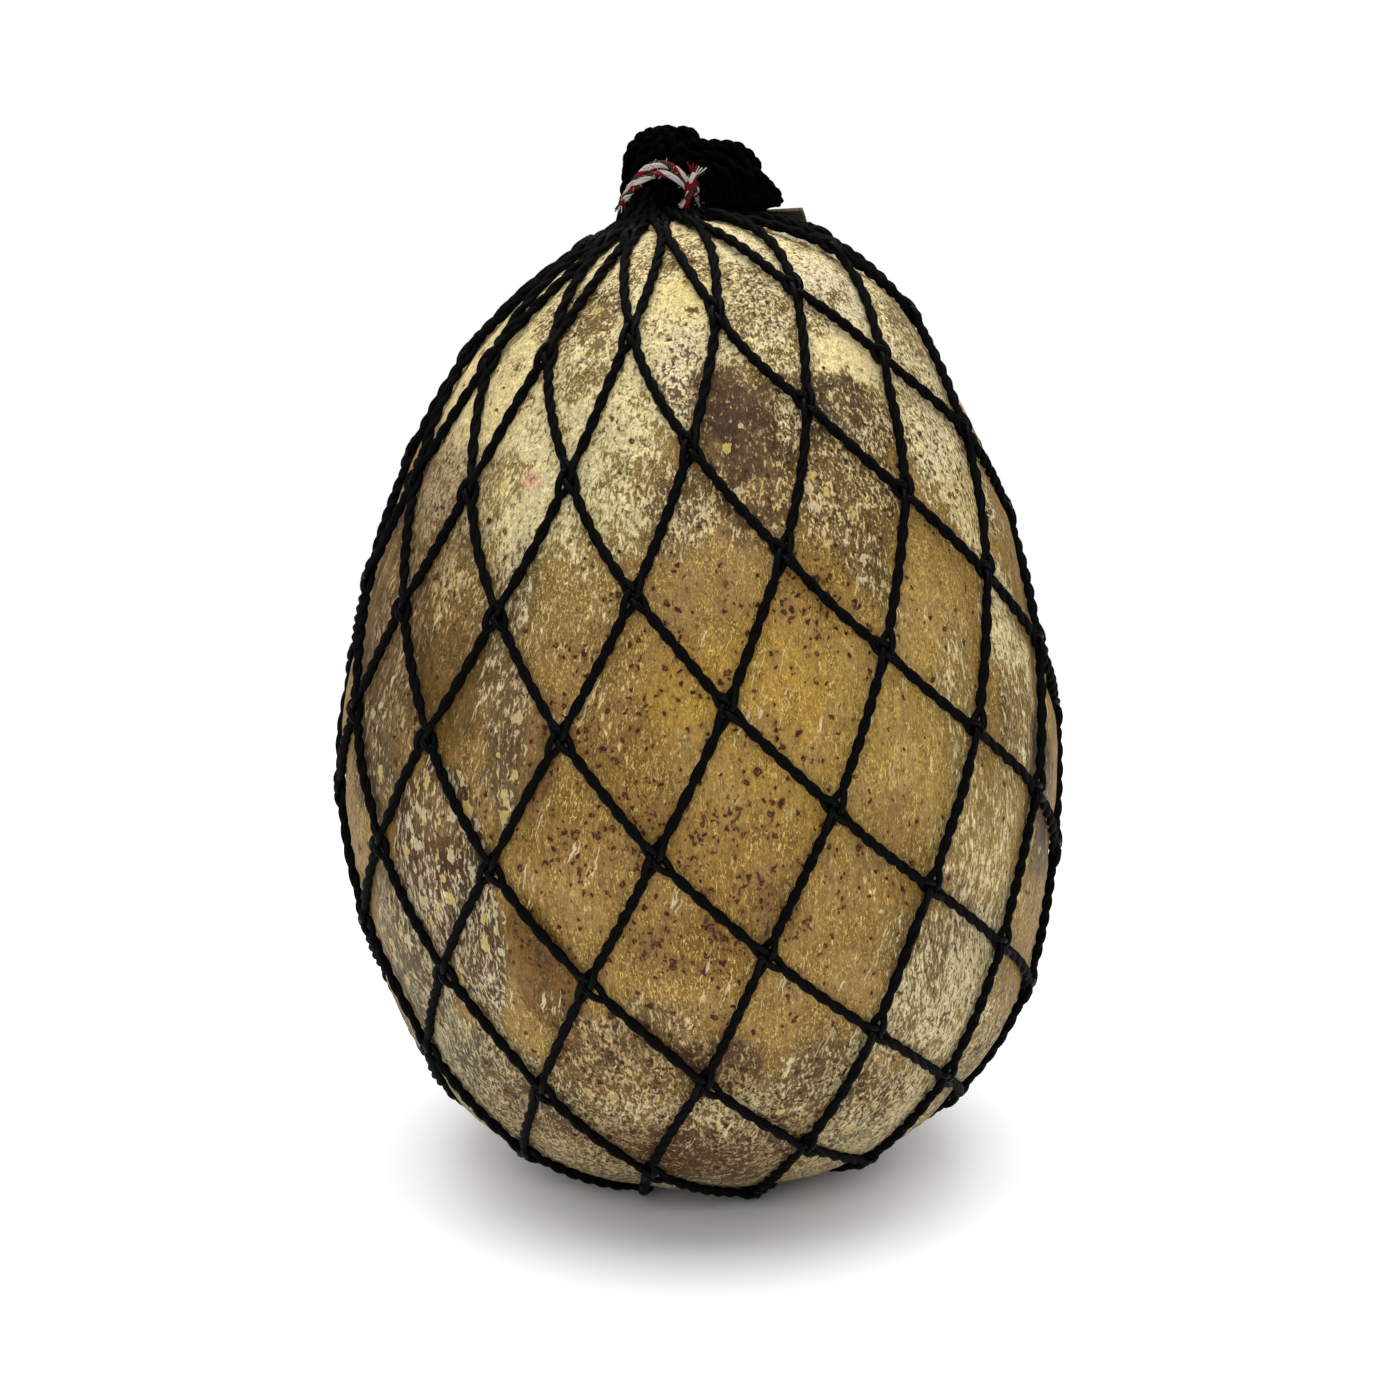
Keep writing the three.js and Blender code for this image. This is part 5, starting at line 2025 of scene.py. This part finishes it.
    def _fray(self, knots: Array, fan: float) -> None:
        """Loose threads that fan out of a cut end.

        Args:
            knots: the end's middle line, whose last point is the cut.
            fan: how far the threads spread, in radians.
        """
        chance = np.random.default_rng(int(abs(knots[-1].sum()) * self.thread_seed_scale))
        ahead = unit(knots[-1] - knots[-2])
        side = unit(np.cross(ahead, self.thread_front))
        front = np.cross(side, ahead)
        back, aside, depth = self.thread_root
        for part in np.linspace(-1.0, 1.0, self.thread_count):
            lean = fan * part + chance.uniform(-self.thread_lean, self.thread_lean)
            stray = front * chance.uniform(-self.thread_stray, self.thread_stray)
            way = unit(ahead * math.cos(lean) + side * math.sin(lean) + stray)
            length = chance.uniform(*self.thread_lengths)
            root = knots[-1] + ahead * back + side * part * aside + front * chance.uniform(-depth, depth)
            curl = front * chance.uniform(-self.thread_curl, self.thread_curl)
            line = np.array([root, root + way * length / 2 + curl, root + way * length])
            path = smooth_path(line, self.thread_step)
            tint = self.thread_tints[int((part + 1) / 2 * self.thread_tint_span)]
            self.tubes.add(path, carried_normals(path, front), self.thread_radius, tint)

    def _add_fuzz(self) -> None:
        """Short fine hairs that stand off the front of both turns."""
        chance = np.random.default_rng(self.fuzz_seed)
        for index in range(self.fuzz_count):
            root = self._ring(chance.uniform(-self.fuzz_angle, self.fuzz_angle), index % 2)
            aside = chance.uniform(-1, 1)
            ahead = -self.hair_forward - chance.uniform(0, 1)
            forward = (aside, ahead, chance.uniform(-1, 1))
            depth = self.hair_depth
            lying = (chance.uniform(-1, 1), chance.uniform(-depth, depth), chance.uniform(-1, 1))
            away, along = unit(np.array([forward, lying]))
            hair = [root + away * out + along * over for out, over in self.hair_shape]
            path = smooth_path(np.array(hair), self.hair_step)
            tint = self.fuzz_tints[index % len(self.fuzz_tints)]
            self.tubes.add(path, carried_normals(path, along), self.hair_radius, tint)


@dataclass
class Tag:
    """The small dark card that lies bent over the back of the gather, bare."""

    width: float = 11.0
    length: float = 26.0
    thickness: float = 0.7
    columns: int = 14
    rows: int = 34
    bend: float = 56.0
    corner: Triple = (21.4, 4.6, 203.1)
    slope: float = math.radians(11)
    yaw: float = math.radians(-8)
    roll: float = math.radians(-3)
    wear: float = 0.5
    waves: NoiseLayers = ((0.25, 9.0, 2.0),)
    rim: float = 0.12
    rim_segments: int = 2
    smooth_angle: float = math.radians(40)

    def build(self) -> None:
        """Bends a grid into the card, gives it its thickness and hands it over."""
        deselect()
        bpy.ops.mesh.primitive_grid_add(x_subdivisions=self.columns, y_subdivisions=self.rows, size=1.0)
        piece = take_primitive("tag_card")
        flat = vertex_places(piece)
        across = (flat[:, 0] + 0.5) * self.width
        along = (flat[:, 1] + 0.5) * self.length
        border = np.minimum.reduce([across, self.width - across, along, self.length - along])
        set_attribute(piece, "edge", 1 - np.clip(border / self.wear, 0, 1))
        start = math.pi / 2 - self.slope
        angle = start - along / self.bend
        back = self.bend * (np.cos(angle) - math.cos(start))
        up = self.bend * (np.sin(angle) - math.sin(start))
        up = up + layered_noise(np.stack([across, along, 0 * along], axis=1), self.waves)
        turn = Euler((0.0, self.roll, self.yaw)).to_matrix()
        bent = np.stack([across - self.width, back, up], axis=1) @ np.array(turn).T
        set_vertex_places(piece, (bent + np.array(self.corner)) * MM)
        card = piece.modifiers.new("card", "SOLIDIFY")
        card.thickness = self.thickness * MM
        card.offset = 1.0
        rim = piece.modifiers.new("rim", "BEVEL")
        rim.width = self.rim * MM
        rim.segments = self.rim_segments
        rim.limit_method = "ANGLE"
        for modifier in ("card", "rim"):
            bpy.ops.object.modifier_apply(modifier=modifier)
        bpy.ops.object.shade_smooth_by_angle(angle=self.smooth_angle)
        hand_over(piece, "tag", Slot.TAG_CARD, CardFinish().make())


@dataclass(frozen=True)
class SoftBox:
    """One large soft light, in metres and watts."""

    name: str
    place: Triple
    aim: Triple
    size: Pair
    power: float


@dataclass
class Studio:
    """A pale floor, soft light and the camera at the photograph's angle."""

    camera_place: Triple = (0.07, -492.4, 187.3)
    camera_aim: Triple = (0.07, 0.0, 100.49)
    focal_pixels: float = 2338.6
    image_pixels: float = 1400.0
    sensor: float = 36.0
    clip_start: float = 0.01
    floor_size: float = 1.1
    floor_colour: Triple = (0.95, 0.975, 1.0)
    floor_clouds: Pattern = Pattern((0.4, 0.4, 0.4), 2.0, 2.0)
    floor_tones: Pair = (0.94, 0.96)
    floor_roughness: float = 0.9
    floor_glow: float = 0.36
    glow_reach: Pair = (0.04, 0.115)
    glow_squeeze: Triple = (1.75, 1.15, 1.0)
    world_light: float = 0.32
    lights: tuple[SoftBox, ...] = (
        SoftBox("front_key", (-0.1, -1.25, 0.7), (0.0, 0.0, 0.11), (0.9, 0.7), 6.8),
        SoftBox("overhead", (0.0, 0.05, 1.4), (0.0, 0.0, 0.0), (1.4, 1.4), 20.0),
    )

    def build(self) -> None:
        """Builds the floor, the lights, the surroundings and the camera."""
        self._floor()
        for light in self.lights:
            self._light(light)
        self._surroundings()
        self._camera()
        bpy.context.scene.view_settings.view_transform = "Standard"

    def _floor(self) -> None:
        """A wide matte pale floor, which glows a little away from the cheese's shadow."""
        deselect()
        bpy.ops.mesh.primitive_plane_add(size=self.floor_size)
        floor = take_primitive("studio_floor")
        graph = Graph("studio_floor")
        place = graph.coordinates("Object")
        tone = graph.noise(place, self.floor_clouds).spread(*self.floor_tones)
        squeezed = place.vector("MULTIPLY", self.glow_squeeze)
        far = graph.node("VectorMath", "Value", {0: squeezed}, operation="LENGTH")
        graph.set(
            Base_Color=graph.shade(self.floor_colour, tone),
            Roughness=self.floor_roughness,
            Specular_IOR_Level=0.0,
            Emission_Color=WHITE,
            Emission_Strength=far.step(*self.glow_reach) * self.floor_glow,
        )
        floor.data.materials.append(graph.material)

    def _light(self, light: SoftBox) -> None:
        """Adds one soft light.

        Args:
            light: its place, aim, size and power.
        """
        deselect()
        bpy.ops.object.light_add(type="AREA", location=light.place)
        lamp = take_primitive(light.name)
        lamp.data.shape = "RECTANGLE"
        lamp.data.size, lamp.data.size_y = light.size
        lamp.data.energy = light.power
        lamp.rotation_euler = aimed(light.place, light.aim)

    def _surroundings(self) -> None:
        """White surroundings that the camera sees bright and the object sees softer."""
        world = bpy.data.worlds.new("studio")
        world.use_nodes = True
        bpy.context.scene.world = world
        nodes = world.node_tree.nodes
        links = world.node_tree.links
        background = nodes["Background"]
        background.inputs["Color"].default_value = WHITE
        path = nodes.new("ShaderNodeLightPath")
        strength = nodes.new("ShaderNodeMapRange")
        strength.inputs["To Min"].default_value = self.world_light
        strength.inputs["To Max"].default_value = 1.0
        links.new(path.outputs["Is Camera Ray"], strength.inputs["Value"])
        links.new(strength.outputs[0], background.inputs["Strength"])

    def _camera(self) -> None:
        """The camera that was worked out from the photograph."""
        deselect()
        bpy.ops.object.camera_add(location=[place * MM for place in self.camera_place])
        camera = bpy.context.object
        camera.rotation_euler = aimed(self.camera_place, self.camera_aim)
        camera.data.sensor_width = self.sensor
        camera.data.lens = self.sensor * self.focal_pixels / self.image_pixels
        camera.data.clip_start = self.clip_start
        bpy.context.scene.camera = camera


def main() -> None:
    """Builds the studio and then the pieces in order, from the cheese out."""
    logging.basicConfig(level=logging.INFO, format="%(name)s: %(message)s")
    egg = EggForm()
    net = NetMap(egg)
    for part in (Studio(), Cheese(egg, net), Net(net), Tuft(), Twine(), Tag()):
        part.build()


if __name__ == "__main__":
    main()
